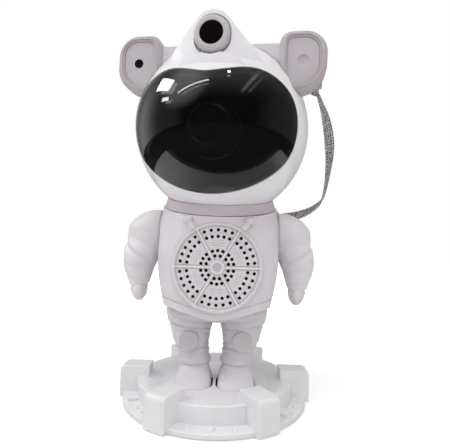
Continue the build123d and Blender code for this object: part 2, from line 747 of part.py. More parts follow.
def tent_section(y, z_top, r, slope):
    """Rounded gable: arc at the top, sides at the slope angle, flat base."""
    z_base = CREST_BASE_Z
    a = radians(slope)
    x1 = r * sin(a)
    z1 = z_top - r * (1 - cos(a))
    x2 = x1 + (z1 - z_base) / tan(a)
    arc = ThreePointArc((-x1, z1), (0, z_top), (x1, z1))
    rest = Polyline((x1, z1), (x2, z_base), (-x2, z_base), (-x1, z1))
    return Plane(origin=(0, y, 0), x_dir=(1, 0, 0), z_dir=(0, -1, 0)) * make_face([arc, rest])


def lamp_bay():
    """Room for the lamp barrel to tilt in."""
    r = LAMP_R + LAMP_GAP
    y0 = -70
    y1 = LAMP_BACK_Y + 1.6
    bay = rod_y(r, y0, y1, 0, LAMP_Z + 1.1) + rod_y(r, y0, y1, 0, LAMP_Z - 1.3)
    return bay + block(-r, r, y0, y1, LAMP_Z - 1.3, LAMP_Z + 1.1)


def helmet_shell():
    return ball(HELMET_R) - ball(HELMET_R - HELMET_WALL)


def helmet_rear():
    return helmet_shell() & block(-80, 80, SPLIT_Y, 80, -80, 80)


def helmet_front():
    """Front shell with the hood, the lamp's bay and the stepped opening for the visor."""
    body = (ball(HELMET_R) + crest()) & block(-80, 80, -80, SPLIT_Y, -80, 80)
    body -= ball(HELMET_R - HELMET_WALL)
    seat = ball(visor_seat_r() - 0.1)
    body += (seat - ball(visor_seat_r() - 2.0)) & visor_prism(LEDGE_W)
    body -= visor_prism(SEAT) - seat
    body -= visor_prism(-LEDGE_W)
    body -= lamp_bay()
    for side in (-1, 1):
        a, b = sorted((side * LAMP_R, side * (LAMP_R + 20)))
        body -= rod_x(LAMP_PIN_R + RUN_GAP, a, b, LAMP_PIVOT_Y, LAMP_Z)
    return body


def visor_r():
    return HELMET_R + VISOR_PROUD


def visor_seat_r():
    return visor_r() - VISOR_T


def visor():
    shell = ball(visor_r()) - ball(visor_seat_r())
    return shell & visor_prism()


def steel_dish():
    outer_r = HELMET_R - HELMET_WALL - 0.15
    return (Sphere(outer_r) - Sphere(outer_r - DISH_T)) & rod_z(17, -HELMET_R, 0)


# ---------------------------------------------------------------- ears and headband
def ear_outline(inset, y):
    """D-shape of the right ear: straight inner side, rounder outer side, widest curve at the bottom."""
    base = Rectangle(EAR_W - 2 * inset, EAR_H - 2 * inset)
    tight = 7.0 - 0.8 * inset
    corners = [(-1, 1, tight), (-1, -1, tight), (1, 1, 12.4 - inset), (1, -1, 15.6 - inset)]
    for side_x, side_z, r in corners:
        ends = base.vertices().group_by(Axis.X)[0 if side_x < 0 else -1]
        base = fillet(ends.sort_by(Axis.Y)[0 if side_z < 0 else -1], r)
    return Plane(origin=(EAR_X, y, EAR_Z), x_dir=(1, 0, 0), z_dir=(0, -1, 0)) * base


def ear_plug(inset, y_front, y_back):
    return extrude(ear_outline(inset, y_back), y_back - y_front)


def ear_body():
    """The cup behind its front bevel, with a rounded back."""
    y = EAR_BACK_Y
    rear = loft([ear_outline(0, y - 5), ear_outline(1.2, y - 2), ear_outline(3.6, y)])
    return rear + ear_plug(0, EAR_FRONT_Y + 3.0, y - 5)


def ear_cup(side):
    front = loft([ear_outline(EAR_BEVEL, EAR_FRONT_Y), ear_outline(0, EAR_FRONT_Y + 3.0)])
    cup = front + ear_body()
    cup -= ear_plug(EAR_BEVEL + 1.0, EAR_FRONT_Y - 1, EAR_FRONT_Y + 0.7)
    cup -= ear_plug(EAR_BEVEL + 2.2, EAR_FRONT_Y - 1, EAR_FRONT_Y + 2.6)
    if side < 0:
        cup = mirror(cup, Plane.YZ)
    return cup - ball(HELMET_R + SEAT)


def ear_pad(side):
    pad = ear_plug(EAR_BEVEL + 2.35, EAR_FRONT_Y + 1.2, EAR_FRONT_Y + 2.6)
    if side < 0:
        pad = mirror(pad, Plane.YZ)
        pad -= rod_y(2.7, EAR_FRONT_Y - 1, EAR_FRONT_Y + 5, -EAR_X, EAR_Z)
    else:
        face = EAR_FRONT_Y + 1.2
        pad -= turned_y([(0, face - 1), (3.2, face - 1), (3.2, face), (2.7, face + 0.6), (1.9, face + 0.9),
                         (0, face + 0.9)], x=EAR_X, z=EAR_Z)
    return pad - ball(HELMET_R + SEAT)


def ir_window():
    return rod_y(2.6, EAR_FRONT_Y + 1.0, EAR_FRONT_Y + 2.6, -EAR_X, EAR_Z)


def headband():
    inner_side = EAR_X - EAR_W / 2
    top = EAR_Z + EAR_H / 2 - 5.9
    bar = block(8, inner_side, EAR_FRONT_Y + 4.5, -9.5, top - 20, top)
    bar -= ball(HELMET_R + SEAT)
    bar -= crest(SEAT)
    return [bar, mirror(bar, Plane.YZ)]


# ---------------------------------------------------------------- star lamp
def star_barrel():
    y0 = LAMP_FRONT_Y
    y1 = LAMP_BACK_Y
    r = LAMP_R
    body_r = r - 0.8
    bore_r = r - 2.3
    seat_r = lamp_lens_r() + 0.1
    barrel = turned_y([(seat_r, y0 + 0.4), (seat_r + 0.3, y0), (r - 1.6, y0), (r - 0.5, y0 + 0.5),
                       (r, y0 + 1.6), (r, y0 + 5.4), (body_r, y0 + 6.2), (body_r, y1 - 0.5),
                       (body_r - 0.5, y1), (0, y1), (0, y1 - 1.5), (bore_r, y1 - 1.5), (bore_r, y0 + 3.6),
                       (seat_r - 0.8, y0 + 3.6), (seat_r - 0.8, y0 + 1.7), (seat_r, y0 + 1.7)], z=LAMP_Z)
    for a, b in ((-r - 1, -bore_r + 0.2), (bore_r - 0.2, r + 1)):
        barrel -= rod_x(LAMP_PIN_R + RUN_GAP, a, b, LAMP_PIVOT_Y, LAMP_Z)
    return barrel


def lamp_lens_r():
    return LAMP_R - 3.4


def star_lens():
    return rod_y(lamp_lens_r(), LAMP_FRONT_Y + 0.4, LAMP_FRONT_Y + 1.7, 0, LAMP_Z)


def laser_module():
    y1 = LAMP_BACK_Y - 1.5
    return rod_y(4.5, y1 - 9, y1, 0, LAMP_Z) + rod_y(6.2, y1 - 2, y1, 0, LAMP_Z)


def star_pivots():
    pin = rod_x(LAMP_PIN_R, LAMP_R - 1.8, LAMP_R + LAMP_GAP + 2.4, LAMP_PIVOT_Y, LAMP_Z)
    return [pin, mirror(pin, Plane.YZ)]


# ---------------------------------------------------------------- nebula lens and drive
def front_of_bulkhead():
    return BULKHEAD_Y - BULKHEAD_T


def disc_axis_gap():
    return GEAR_MODULE * (DISC_TEETH + PINION_TEETH) / 2 + 0.12


def optic_bracket():
    """Bulkhead across the face that carries the lens, the disc and the drive."""
    edge = visor_seat_r() - 2.0 - SEAT
    plate = rod_y(50, front_of_bulkhead(), BULKHEAD_Y) & ball(edge)
    plate -= rod_y(LENS_R - 1.4, -60, 0, 0, LENS_Z)
    plate += rod_y(1.5, BULKHEAD_Y - 1, DISC_Y + DISC_T + 1.2, 0, DISC_Z)
    for z in (-9.5, 9.5):
        plate += rod_y(1.8, BULKHEAD_Y - 1, motor_face_y(), disc_axis_gap(), DISC_Z + z)
    for side in (-1, 1):
        plate += rod_y(2.2, BULKHEAD_Y - 1, SINK_Y, side * 15, LENS_Z + 19)
    return plate


SINK_Y = -15.6


def motor_face_y():
    return DISC_Y + DISC_T + 1.6


def lens_tube():
    back = front_of_bulkhead()
    tip = tube_tip_y()
    seat = tip + 4.8
    r = LENS_R
    return turned_y([(r - 1.5, tip + 0.8), (r - 0.6, tip), (r, tip + 0.6), (r, back - 2.6),
                     (r + 4.5, back - 2.6), (r + 5, back - 2.0), (r + 5, back), (r - 2.9, back),
                     (r - 2.9, seat), (r - 1.5, seat)], z=LENS_Z)


def tube_tip_y():
    return 8.0 - visor_seat_r()


def nebula_lens():
    seat = tube_tip_y() + 4.8
    edge = seat - 2.4
    body = rod_y(LENS_R - 1.6, edge, seat, 0, LENS_Z)
    dome = Pos(0, edge + 14.6, LENS_Z) * Sphere(17.0) & rod_y(LENS_R - 1.6, edge - 9, edge + 0.1, 0, LENS_Z)
    return body + dome


def gear(teeth, bore, y, t, clearance):
    """Straight-sided gear about Y; clearance thins each tooth."""
    pitch_r = GEAR_MODULE * teeth / 2
    tip = pitch_r + 0.85 * GEAR_MODULE
    root = pitch_r - 1.1 * GEAR_MODULE
    step = 2 * 180 / teeth
    points = []
    for index in range(teeth):
        middle = index * step
        root_half = step * 0.33 - clearance
        tip_half = step * 0.13 - clearance
        for radius, angle in ((root, -root_half), (tip, -tip_half), (tip, tip_half), (root, root_half)):
            a = radians(middle + angle)
            points.append((radius * cos(a), radius * sin(a)))
    blank = extrude(make_face(Polyline(*points, close=True)), t)
    blank -= Pos(0, 0, -1) * Cylinder(bore, t + 2, align=MIN)
    return Pos(0, y, 0) * Rot(-90, 0, 0) * blank


def ripple_disc():
    disc = gear(DISC_TEETH, 1.5 + RUN_GAP, DISC_Y, DISC_T, 0.1)
    for index in range(3):
        disc -= Rot(0, index * 120 + 30, 0) * rod_y(4.2, -40, 0, 12.0, 0)
    return Pos(0, 0, DISC_Z) * disc


def motor_pinion():
    half_tooth = 180 / PINION_TEETH
    turned_gear = Rot(0, half_tooth, 0) * gear(PINION_TEETH, 0.85, DISC_Y - 0.3, DISC_T + 0.8, 0.8)
    return Pos(disc_axis_gap(), 0, DISC_Z) * turned_gear


def wheel_motor():
    x = disc_axis_gap()
    y = motor_face_y()
    body = rod_y(6.5, y, y + 11, x, DISC_Z) + block(x - 4, x + 4, y, y + 1, DISC_Z - 12, DISC_Z + 12)
    return body + rod_y(0.8, DISC_Y - 0.2, y + 1, x, DISC_Z)


def led_board():
    return block(-12, 12, SINK_Y - 1.6, SINK_Y, LENS_Z - 10, LENS_Z + 12)


def led_emitters():
    y = SINK_Y - 1.6
    spots = []
    for x in (-4, 4):
        for z in (-4, 4):
            spots.append(rod_y(2.4, y - 1.6, y, x, LENS_Z + z))
    return spots


def heat_sink():
    body = block(-18, 18, SINK_Y, SINK_Y + 2, LENS_Z - 10, LENS_Z + 22)
    for index in range(7):
        x = -16.5 + index * 5.5
        body += block(x - 0.7, x + 0.7, SINK_Y + 1, SINK_Y + 10, LENS_Z - 10, LENS_Z + 22)
    return body


# ---------------------------------------------------------------- strap
def strap_loop():
    """Lug on the back of the right ear that holds the strap's upper end."""
    x = EAR_X + 7.0
    lug = block(x - 5, x + 5, EAR_BACK_Y - 1, EAR_BACK_Y + 2.8, EAR_Z - 10.0, EAR_Z - 5.5)
    return lug - ear_body() - ball(HELMET_R + SEAT)


STRAP_POINTS = [
    (56.0, -22.2, 194.4), (60.2, -17.6, 186.0), (65.0, -12.6, 175.0), (68.0, -7.6, 163.5),
    (69.2, -2.4, 151.0), (67.6, 3.4, 139.0), (61.8, 10.0, 128.4), (52.4, 16.4, 121.0), (42.4, 21.2, 117.0),
]
STRAP_SIDES = [
    (0.7, 0.7, 0.0), (0.6, 0.8, 0.0), (0.7, 0.7, 0.0), (0.95, 0.3, 0.1), (0.85, 0.5, 0.1),
    (0.45, 0.9, 0.1), (0.1, 0.9, 0.45), (0.0, 0.65, 0.75), (0.0, 0.4, 0.95),
]


def strap_section(index, outline):
    """Places a flat outline square to the strap's route at one of its points."""
    before = Vector(*STRAP_POINTS[max(index - 1, 0)])
    after = Vector(*STRAP_POINTS[min(index + 1, len(STRAP_POINTS) - 1)])
    along = (after - before).normalized()
    side = Vector(*STRAP_SIDES[index])
    side = (side - along * side.dot(along)).normalized()
    return Plane(origin=STRAP_POINTS[index], x_dir=side, z_dir=along) * outline


def strap():
    """Woven band as a ruled loft of flat sections that turn along its route."""
    outline = Rectangle(STRAP_W, STRAP_T)
    return loft([strap_section(index, outline) for index in range(len(STRAP_POINTS))], ruled=True)


def strap_clip():
    """Small moulded holder on the jacket that takes the strap's lower end."""
    clip = strap_section(len(STRAP_POINTS) - 1, block(-5.6, 5.6, -1.8, 1.8, 0, STRAP_CLIP_L))
    return clip - jacket_loft(-SEAT)


# ---------------------------------------------------------------- assembly
def in_head(solid):
    if isinstance(solid, list):
        return [head_frame() * piece for piece in solid]
    return head_frame() * solid


def nodes():
    jacket = jacket_body()
    keys = key_places()
    right_arm = arm()
    return {
        "dock_deck": dock_deck(),
        "dock_cover": dock_cover(),
        "dock_mat": dock_mat(),
        "dock_screws": dock_screws(),
        "ballast_plate": ballast_plate(),
        "dock_magnets": dock_magnets(),
        "left_boot": boot(-1),
        "right_boot": boot(1),
        "boot_plates": boot_plates(),
        "trousers": trousers(),
        "knee_pads": knee_pads(),
        "jacket_front": jacket_front(jacket),
        "jacket_rear": jacket_rear(jacket),
        "speaker_grille": speaker_grille(),
        "speaker_frame": speaker_frame(),
        "speaker_cone": speaker_cone(),
        "speaker_magnet": speaker_magnet(),
        "main_board": main_board(),
        "backpack_shell": backpack_shell(),
        "key_board": key_board(),
        "key_switches": key_switches(),
        "usb_socket": usb_socket(),
        "power_button": key_cap(keys[0]),
        "star_button": key_cap(keys[1]),
        "nebula_button": key_cap(keys[2]),
        "left_arm": mirror(right_arm, Plane.YZ),
        "right_arm": right_arm,
        "arm_pivots": arm_pivots(),
        "neck_ring": neck_ring(),
        "neck_magnet": neck_magnet(),
        "neck_seat": neck_seat(),
        "friction_ring": friction_ring(),
        "helmet_front": in_head(helmet_front()),
        "helmet_rear": in_head(helmet_rear()),
        "visor": in_head(visor()),
        "steel_dish": in_head(steel_dish()),
        "left_ear_cup": in_head(ear_cup(-1)),
        "right_ear_cup": in_head(ear_cup(1)),
        "left_ear_pad": in_head(ear_pad(-1)),
        "right_ear_pad": in_head(ear_pad(1)),
        "ir_window": in_head(ir_window()),
        "headband": in_head(headband()),
        "star_barrel": in_head(star_barrel()),
        "star_lens": in_head(star_lens()),
        "laser_module": in_head(laser_module()),
        "star_pivots": in_head(star_pivots()),
        "optic_bracket": in_head(optic_bracket()),
        "lens_tube": in_head(lens_tube()),
        "nebula_lens": in_head(nebula_lens()),
        "ripple_disc": in_head(ripple_disc()),
        "motor_pinion": in_head(motor_pinion()),
        "wheel_motor": in_head(wheel_motor()),
        "led_board": in_head(led_board()),
        "led_emitters": in_head(led_emitters()),
        "heat_sink": in_head(heat_sink()),
        "strap_loop": in_head(strap_loop()),
        "strap": strap(),
        "strap_clip": strap_clip(),
    }


def main():
    os.makedirs("parts", exist_ok=True)
    for name, shape in nodes().items():
        if isinstance(shape, list):
            shape = Compound(children=shape) if len(shape) > 1 else shape[0]
        export_step(shape, f"parts/{name}.step")


main()
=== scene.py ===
from math import cos, pi, radians, sin, sqrt

import bmesh
import bpy
import numpy as np
from mathutils import Matrix, Vector


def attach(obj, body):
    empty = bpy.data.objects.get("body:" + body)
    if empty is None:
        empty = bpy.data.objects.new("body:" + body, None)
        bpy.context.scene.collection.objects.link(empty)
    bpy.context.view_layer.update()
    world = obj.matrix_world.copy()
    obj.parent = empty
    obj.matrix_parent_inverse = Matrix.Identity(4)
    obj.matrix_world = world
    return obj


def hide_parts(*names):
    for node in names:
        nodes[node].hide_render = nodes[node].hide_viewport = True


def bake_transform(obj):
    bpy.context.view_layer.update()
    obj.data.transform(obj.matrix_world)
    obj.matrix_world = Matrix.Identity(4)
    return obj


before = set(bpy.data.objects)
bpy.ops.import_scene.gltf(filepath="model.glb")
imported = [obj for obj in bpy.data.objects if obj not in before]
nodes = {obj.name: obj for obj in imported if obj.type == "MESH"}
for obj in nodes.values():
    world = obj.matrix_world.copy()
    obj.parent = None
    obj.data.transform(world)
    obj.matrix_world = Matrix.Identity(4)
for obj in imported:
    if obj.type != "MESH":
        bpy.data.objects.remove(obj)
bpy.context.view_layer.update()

# ---------------------------------------------------------------- dock moulding
# The round dock is one injection moulding in white ABS: flange with rivets, wall, six radial blocks
# and a deck that slopes down to the boot wells, which are painted dark as shade. The slopes have a
# shallow tread beside and behind the boots, and spark erosion of the mould leaves a fine grain on
# all of it.
MM = 0.001
DOCK_WHITE = (229, 228, 230)
WELL_PAINTED_SHADE = (70, 67, 69)
WELL_TOP = (8.9, 9.2)    # the painted shade of the wells fades out over these heights
WELL_R = (30.5, 31.2)    # and over these distances from the dock's middle
SLOPE_IN_R = 31.0
SLOPE_OUT_R = 43.5
SLOPE_Z = (9.8, 13.1)
SLOPE_LINE = (1.8, 0.8)  # a raised line lies this far inside the slope's outer edge
TREAD_COUNT = 66
TREAD_BAR = (0.22, 0.72)         # share of the pitch that one bar takes
TREAD_MARGIN = 3.0
TREAD_START = (0.5, 0.62)        # angle from the front where the tread begins, in radians


class Wire:
    """A value in a node tree. Arithmetic on it adds the Math nodes for it."""

    def __init__(self, shading, socket):
        self.shading = shading
        self.socket = socket

    def math(self, operation, *others, first=None):
        values = (self, *others) if first is None else (first, self)
        return self.shading.node("Math", {"operation": operation}, dict(enumerate(values)))

    def __add__(self, other):
        return self.math("ADD", other)

    def __radd__(self, other):
        return self.math("ADD", other)

    def __sub__(self, other):
        return self.math("SUBTRACT", other)

    def __rsub__(self, other):
        return self.math("SUBTRACT", first=other)

    def __mul__(self, other):
        return self.math("MULTIPLY", other)

    def __rmul__(self, other):
        return self.math("MULTIPLY", other)

    def size(self):
        return self.math("ABSOLUTE")

    def root(self):
        return self.math("SQRT")

    def rest(self):
        """What is left above the whole number."""
        return self.math("FRACT")

    def sine(self):
        return self.math("SINE")

    def cosine(self):
        return self.math("COSINE")

    def angle_to(self, other):
        return self.math("ARCTAN2", other)

    def step(self, low, high):
        """0 below low, 1 above high, smooth between."""
        return self.shading.node("MapRange", {"interpolation_type": "SMOOTHSTEP"},
                                 {"Value": self, "From Min": low, "From Max": high})

    def band(self, low, high, soft):
        """1 between low and high, with soft edges."""
        return self.step(low - soft, low) * (1 - self.step(high, high + soft))


def screen(red, green, blue):
    """Colour as a screen shows it, 0 to 255, turned into light."""
    return [c / 255 / 12.92 if c < 11 else ((c / 255 + 0.055) / 1.055) ** 2.4
            for c in (red, green, blue)]


class Shading:
    """A node tree, with one method that adds a node and a few that add common groups of them."""

    def __init__(self, tree):
        self.tree = tree

    def join(self, value, socket):
        if isinstance(value, Wire):
            self.tree.links.new(value.socket, socket)
        else:
            socket.default_value = value

    def node(self, kind, settings=None, inputs=None, out=0):
        node = self.tree.nodes.new("ShaderNode" + kind)
        for key, value in (settings or {}).items():
            setattr(node, key, value)
        for key, value in (inputs or {}).items():
            self.join(value, node.inputs[key])
        return Wire(self, node.outputs[out])

    def place(self, space="Object"):
        """Position in metres as x, y and z wires. In a world, Generated gives the direction."""
        position = self.node("TexCoord", out=space)
        return [self.node("SeparateXYZ", None, {"Vector": position}, axis) for axis in "XYZ"]

    def ray(self, kind):
        """1 for rays of this kind: Camera, Glossy or Transmission."""
        return self.node("LightPath", out=f"Is {kind} Ray")

    def noise(self, scale, detail=2.0, squeeze=(1, 1, 1)):
        position = self.node("TexCoord", out="Object")
        position = self.node("VectorMath", {"operation": "MULTIPLY"}, {0: position, 1: squeeze})
        return self.node("TexNoise", None,
                         {"Vector": position, "Scale": scale, "Detail": detail}, "Fac")

    def mix(self, factor, first, second):
        """First colour where factor is 0, second where it is 1."""
        first = first if isinstance(first, Wire) else (*screen(*first), 1)
        second = second if isinstance(second, Wire) else (*screen(*second), 1)
        return self.node("Mix", {"data_type": "RGBA"}, {0: factor, 6: first, 7: second}, 2)

    def bump(self, height, depth, normal=None):
        """Relief of this depth in metres where height goes from 0 to 1."""
        inputs = {"Height": height, "Distance": depth, "Strength": 1.0}
        if normal:
            inputs["Normal"] = normal
        return self.node("Bump", None, inputs)


class Finish(Shading):
    """A material: its principled shader and the nodes that feed it."""

    def __init__(self, name, color, roughness, **sockets):
        self.material = bpy.data.materials.new(name)
        self.material.use_nodes = True
        super().__init__(self.material.node_tree)
        self.shader = self.tree.nodes["Principled BSDF"]
        self.set("Base Color", (*screen(*color), 1))
        self.set("Roughness", roughness)
        for socket, value in sockets.items():
            self.set(socket.replace("_", " "), value)

    def set(self, socket, value):
        self.join(value, self.shader.inputs[socket])


def moulded(name, color, roughness, cloudy=5, grain=0.012 * MM, **sockets):
    """Injection-moulded plastic: faint flow clouds, scuffs in the gloss and a fine grain."""
    finish = Finish(name, color, roughness, **sockets)
    cloud = finish.noise(45, 4)
    finish.color = finish.mix(cloud.step(0.3, 0.75), color, [c - cloudy for c in color])
    finish.set("Base Color", finish.color)
    scuff = finish.noise(420, 3, (1, 1, 0.25)).step(0.55, 0.8)
    finish.set("Roughness", cloud * 0.1 + scuff * 0.08 + (roughness - 0.07))
    finish.relief = finish.bump(finish.noise(2400, 2), grain)
    finish.set("Normal", finish.relief)
    return finish


def dress(finish, *names):
    """Gives frame nodes their material."""
    for name in names:
        slots = nodes[name].data.materials
        slots.clear()
        slots.append(finish.material)


dock_abs = moulded("dock_abs", DOCK_WHITE, 0.46)
x, y, z = dock_abs.place()
radius = (x * x + y * y).root()
around = x.angle_to(y) * (TREAD_COUNT / (2 * pi))
tread = around.rest().band(*TREAD_BAR, 0.08)
tread = tread * radius.band((SLOPE_IN_R + TREAD_MARGIN) * MM, (SLOPE_OUT_R - TREAD_MARGIN) * MM,
                            0.4 * MM)
tread = tread * x.angle_to(0 - y).size().step(*TREAD_START)
edge_line = radius.band(*[(SLOPE_OUT_R - inside) * MM for inside in SLOPE_LINE], 0.2 * MM)
on_slope = z.band(SLOPE_Z[0] * MM, SLOPE_Z[1] * MM, 0.2 * MM)
dock_abs.set("Normal", dock_abs.bump((tread + edge_line) * on_slope, 0.25 * MM, dock_abs.relief))
# the tread's bars on the slopes are coloured a little darker
darker_tread = dock_abs.mix(tread * on_slope * 0.25, dock_abs.color, [c - 22 for c in DOCK_WHITE])
# painted shade: the boot wells below the deck's slope are coloured dark
low = 1 - z.step(WELL_TOP[0] * MM, WELL_TOP[1] * MM)
well_painted_shade = low * (1 - radius.step(WELL_R[0] * MM, WELL_R[1] * MM))
dock_abs.set("Base Color", dock_abs.mix(well_painted_shade, darker_tread, WELL_PAINTED_SHADE))
dress(dock_abs, "dock_deck")

# ---------------------------------------------------------------- under the dock
# A plate closes the dock's underside, held by four pan screws. It carries a steel ballast disc and
# two magnets that hold the boots, and an anti-slip rubber mat is glued to it.
COVER_GREY = (206, 205, 207)
MAT_BLACK = (46, 46, 47)
STEEL = (150, 151, 154)
MAGNET_NICKEL = (182, 180, 174)


def metal(name, color, roughness, squeeze=(1, 1, 1)):
    """Bare metal with fine drawn or turned lines along one direction, and dull patches."""
    finish = Finish(name, color, roughness, Metallic=1.0)
    lines = finish.noise(900, 2, squeeze)
    finish.set("Base Color", finish.mix(lines, color, [c * 0.86 for c in color]))
    finish.set("Roughness", lines * 0.16 + (roughness - 0.08))
    finish.set("Normal", finish.bump(lines, 0.01 * MM))
    return finish


def rubber(name, color):
    """Soft black rubber: dull, with a pimpled face."""
    finish = Finish(name, color, 0.85)
    x, y, z = finish.place()
    pimples = ((x * 2600).sine() * (y * 2600).sine()).step(0.2, 0.9)
    finish.set("Base Color", finish.mix(finish.noise(160, 3), color, [c * 1.35 for c in color]))
    finish.set("Normal", finish.bump(pimples, 0.15 * MM))
    return finish


dress(moulded("cover_abs", COVER_GREY, 0.5), "dock_cover")
dress(rubber("mat_rubber", MAT_BLACK), "dock_mat")
plain_steel = metal("zinced_steel", STEEL, 0.32, (1, 1, 0.2))
dress(plain_steel, "dock_screws", "ballast_plate")
dress(metal("magnet_nickel", MAGNET_NICKEL, 0.2), "dock_magnets", "neck_magnet")

# ---------------------------------------------------------------- boots
# Two flared boots in the suit's lilac-grey ABS stand in the dock's wells. Their edges are rubbed a
# little lighter, and a steel plate is pressed into each sole.
SUIT = (218, 213, 217)
BOOT_LIGHT = (221, 217, 221)


def suit_finish(name, color, roughness=0.44):
    """The suit's plastic, with softly rubbed high spots."""
    finish = moulded(name, color, roughness, 6)
    ridge = finish.node("NewGeometry", out="Pointiness").step(0.53, 0.62)
    finish.color = finish.mix(ridge * 0.5, finish.color, [min(255, c + 9) for c in color])
    finish.set("Base Color", finish.color)
    return finish


dress(suit_finish("boot_abs", BOOT_LIGHT), "left_boot", "right_boot")
dress(plain_steel, "boot_plates")

# ---------------------------------------------------------------- trousers
# One blown moulding that looks like crumpled cloth: both legs, the seat, folds that sweep down from
# the hips to the crotch, creases above and below each knee, and a rolled cuff on each boot.
TROUSERS = (217, 212, 217)
FOLD_PAINTED_SHADE = (140, 132, 138)
LEG_Y = -1.0             # middle of the legs, front to back
KNEE_X = 16.1
KNEE_Z = 38.2
KNEE_ROOM = 7.0          # in this circle the folds stand out no further than the bulge
KNEE_BULGE = 0.1
CUFF_Z = 25.6
BELT_Z = 57.5
LEG_ROWS = [             # height, sideways middle, half width, half depth, shift in y
    (22.0, 13.6, 9.9, 11.0, 0.0), (22.8, 13.6, 10.6, 11.8, 0.0), (24.8, 13.7, 10.6, 11.8, 0.0),
    (25.6, 13.8, 9.8, 11.0, 0.0), (26.4, 13.9, 9.6, 10.9, 0.0), (29.2, 14.3, 10.1, 11.5, 0.0),
    (32.2, 15.2, 10.5, 12.4, 0.0), (38.2, 16.2, 11.95, 14.0, 0.2), (45.2, 16.4, 13.6, 16.0, 0.8),
    (48.2, 16.1, 15.0, 17.6, 0.6), (52.2, 16.4, 15.9, 19.7, 0.3), (56.8, 16.4, 16.2, 21.3, 0.0),
    (60.4, 16.2, 13.6, 20.0, 0.0),
]
SEAT_ROWS = [            # height, half width, half depth
    (48.8, 12.0, 14.0), (54.2, 28.6, 22.8), (60.4, 30.0, 25.2),
]
SEAT_SQUARE = 2.6        # the seat is nearer to a box than the legs are
LEVEL_STEP = 0.4         # height between the rings of a leg
VOXEL = 0.5
SETTLE_ROUNDS = 5        # of smoothing after the shells are melted together
# Folds of a leg: height on the inner side, at the front and on the outer side, where they start and
# end in degrees from the front, depth and width.
LEG_FOLDS = [
    (45.6, 50.6, 55.4, -95, 80, 0.75, 1.0),
    (43.9, 47.6, 51.0, -90, 30, 0.55, 0.9),
    (42.0, 45.6, 46.4, -110, 110, 0.8, 0.95),
    (39.8, 42.6, 44.0, -120, -30, 0.6, 0.8),
    (34.6, 34.2, 33.0, -130, -28, 0.7, 0.8),
    (31.4, 32.2, 31.0, -130, 60, 0.75, 0.85),
    (28.0, 29.4, 28.6, -120, 120, 0.35, 0.9),
    (36.6, 38.0, 40.4, 40, 130, 0.45, 0.9),
    (33.0, 33.0, 35.2, 45, 125, 0.4, 0.8),
    (52.0, 53.0, 58.0, 40, 150, 0.5, 1.1),
]
FOLD_FADE = 28           # degrees over which a fold runs out at each end
UPPER_ROLL = (0.45, 1.9, 1.5)    # share of the fold's depth, distance and width in fold widths
LOWER_ROLL = (0.35, -1.8, 1.4)
LEG_FOLD_SCALE = 1.35
ROLL_DEPTH = 0.12        # of the even waves round the back
ROLL_TURN = (60, 120)    # degrees from the front over which the waves begin
SIDE_DAMPING = 0.6       # share of the folds' depth that is gone at the sides
SIDE_TURN = (55, 90)     # degrees from the front over which it goes
KNEE_TURN = 60


def through(rows, heights):
    """Sizes at each height, on smooth lines through the rows that don't overshoot them."""
    rows = np.array(rows, float)
    z, values = rows[:, 0], rows[:, 1:]
    slope = np.diff(values, axis=0) / np.diff(z)[:, None]
    bend = np.zeros_like(values)
    before, after = slope[:-1], slope[1:]
    same = before * after > 0
    bend[1:-1][same] = 2 * before[same] * after[same] / (before[same] + after[same])
    bend[0], bend[-1] = slope[0], slope[-1]
    at = np.clip(np.searchsorted(z, heights, side="right") - 1, 0, len(z) - 2)
    gap = np.diff(z)[at][:, None]
    t = (heights[:, None] - z[at][:, None]) / gap
    low = values[at] * (1 + 2 * t) * (1 - t) ** 2 + gap * bend[at] * t * (1 - t) ** 2
    high = values[at + 1] * t * t * (3 - 2 * t) - gap * bend[at + 1] * t * t * (1 - t)
    return low + high


def skin(mesh, rings):
    """Adds a closed tube over rings of points, one face fan at each end."""
    loops = [[mesh.verts.new(Vector(point) * MM) for point in ring] for ring in rings]
    for lower, upper in zip(loops, loops[1:]):
        for index in range(len(lower)):
            after = (index + 1) % len(lower)
            mesh.faces.new((lower[index], lower[after], upper[after], upper[index]))
    mesh.faces.new(reversed(loops[0]))
    mesh.faces.new(loops[-1])


def ovals(heights, middle_x, middle_y, half_w, half_d, count=72, square=2.0):
    """Level rings: ellipses, or nearer to a box where square is over 2."""
    angles = np.linspace(0, 2 * pi, count, endpoint=False)
    c, s = np.cos(angles), np.sin(angles)
    across = np.sign(c) * np.abs(c) ** (2 / square)
    deep = np.sign(s) * np.abs(s) ** (2 / square)
    return [[(mx + w * a, my + d * b, h) for a, b in zip(across, deep)]
            for h, mx, my, w, d in zip(heights, middle_x, middle_y, half_w, half_d)]


def linked(piece):
    """Puts a new object into the scene."""
    bpy.context.scene.collection.objects.link(piece)
    return piece


def object_from(name, mesh):
    """A new object with the faces of a bmesh, which is freed."""
    data = bpy.data.meshes.new(name)
    mesh.to_mesh(data)
    mesh.free()
    return linked(bpy.data.objects.new(name, data))


def fused(name, mesh):
    """Melts overlapping shells into one fine even mesh, as a new object."""
    piece = object_from(name, mesh)
    remesh = piece.modifiers.new("melt", "REMESH")
    remesh.mode = "VOXEL"
    remesh.voxel_size = VOXEL * MM
    settle = piece.modifiers.new("settle", "SMOOTH")
    settle.iterations = SETTLE_ROUNDS
    settle.factor = 0.5
    ready = piece.evaluated_get(bpy.context.evaluated_depsgraph_get())
    piece.data = bpy.data.meshes.new_from_object(ready)
    piece.modifiers.clear()
    for polygon in piece.data.polygons:
        polygon.use_smooth = True
    return piece


def points_of(piece):
    """The piece's points in millimetres and their normals, as arrays."""
    count = len(piece.data.vertices)
    place, normal = np.zeros(count * 3), np.zeros(count * 3)
    piece.data.vertices.foreach_get("co", place)
    piece.data.vertices.foreach_get("normal", normal)
    return place.reshape(-1, 3) / MM, normal.reshape(-1, 3)


def put_points(piece, place):
    piece.data.vertices.foreach_set("co", (place * MM).astype(np.float32).ravel())
    piece.data.update()


def ease(value, low, high):
    """0 below low, 1 above high, smooth between, for arrays."""
    t = np.clip((value - low) / (high - low), 0, 1)
    return t * t * (3 - 2 * t)


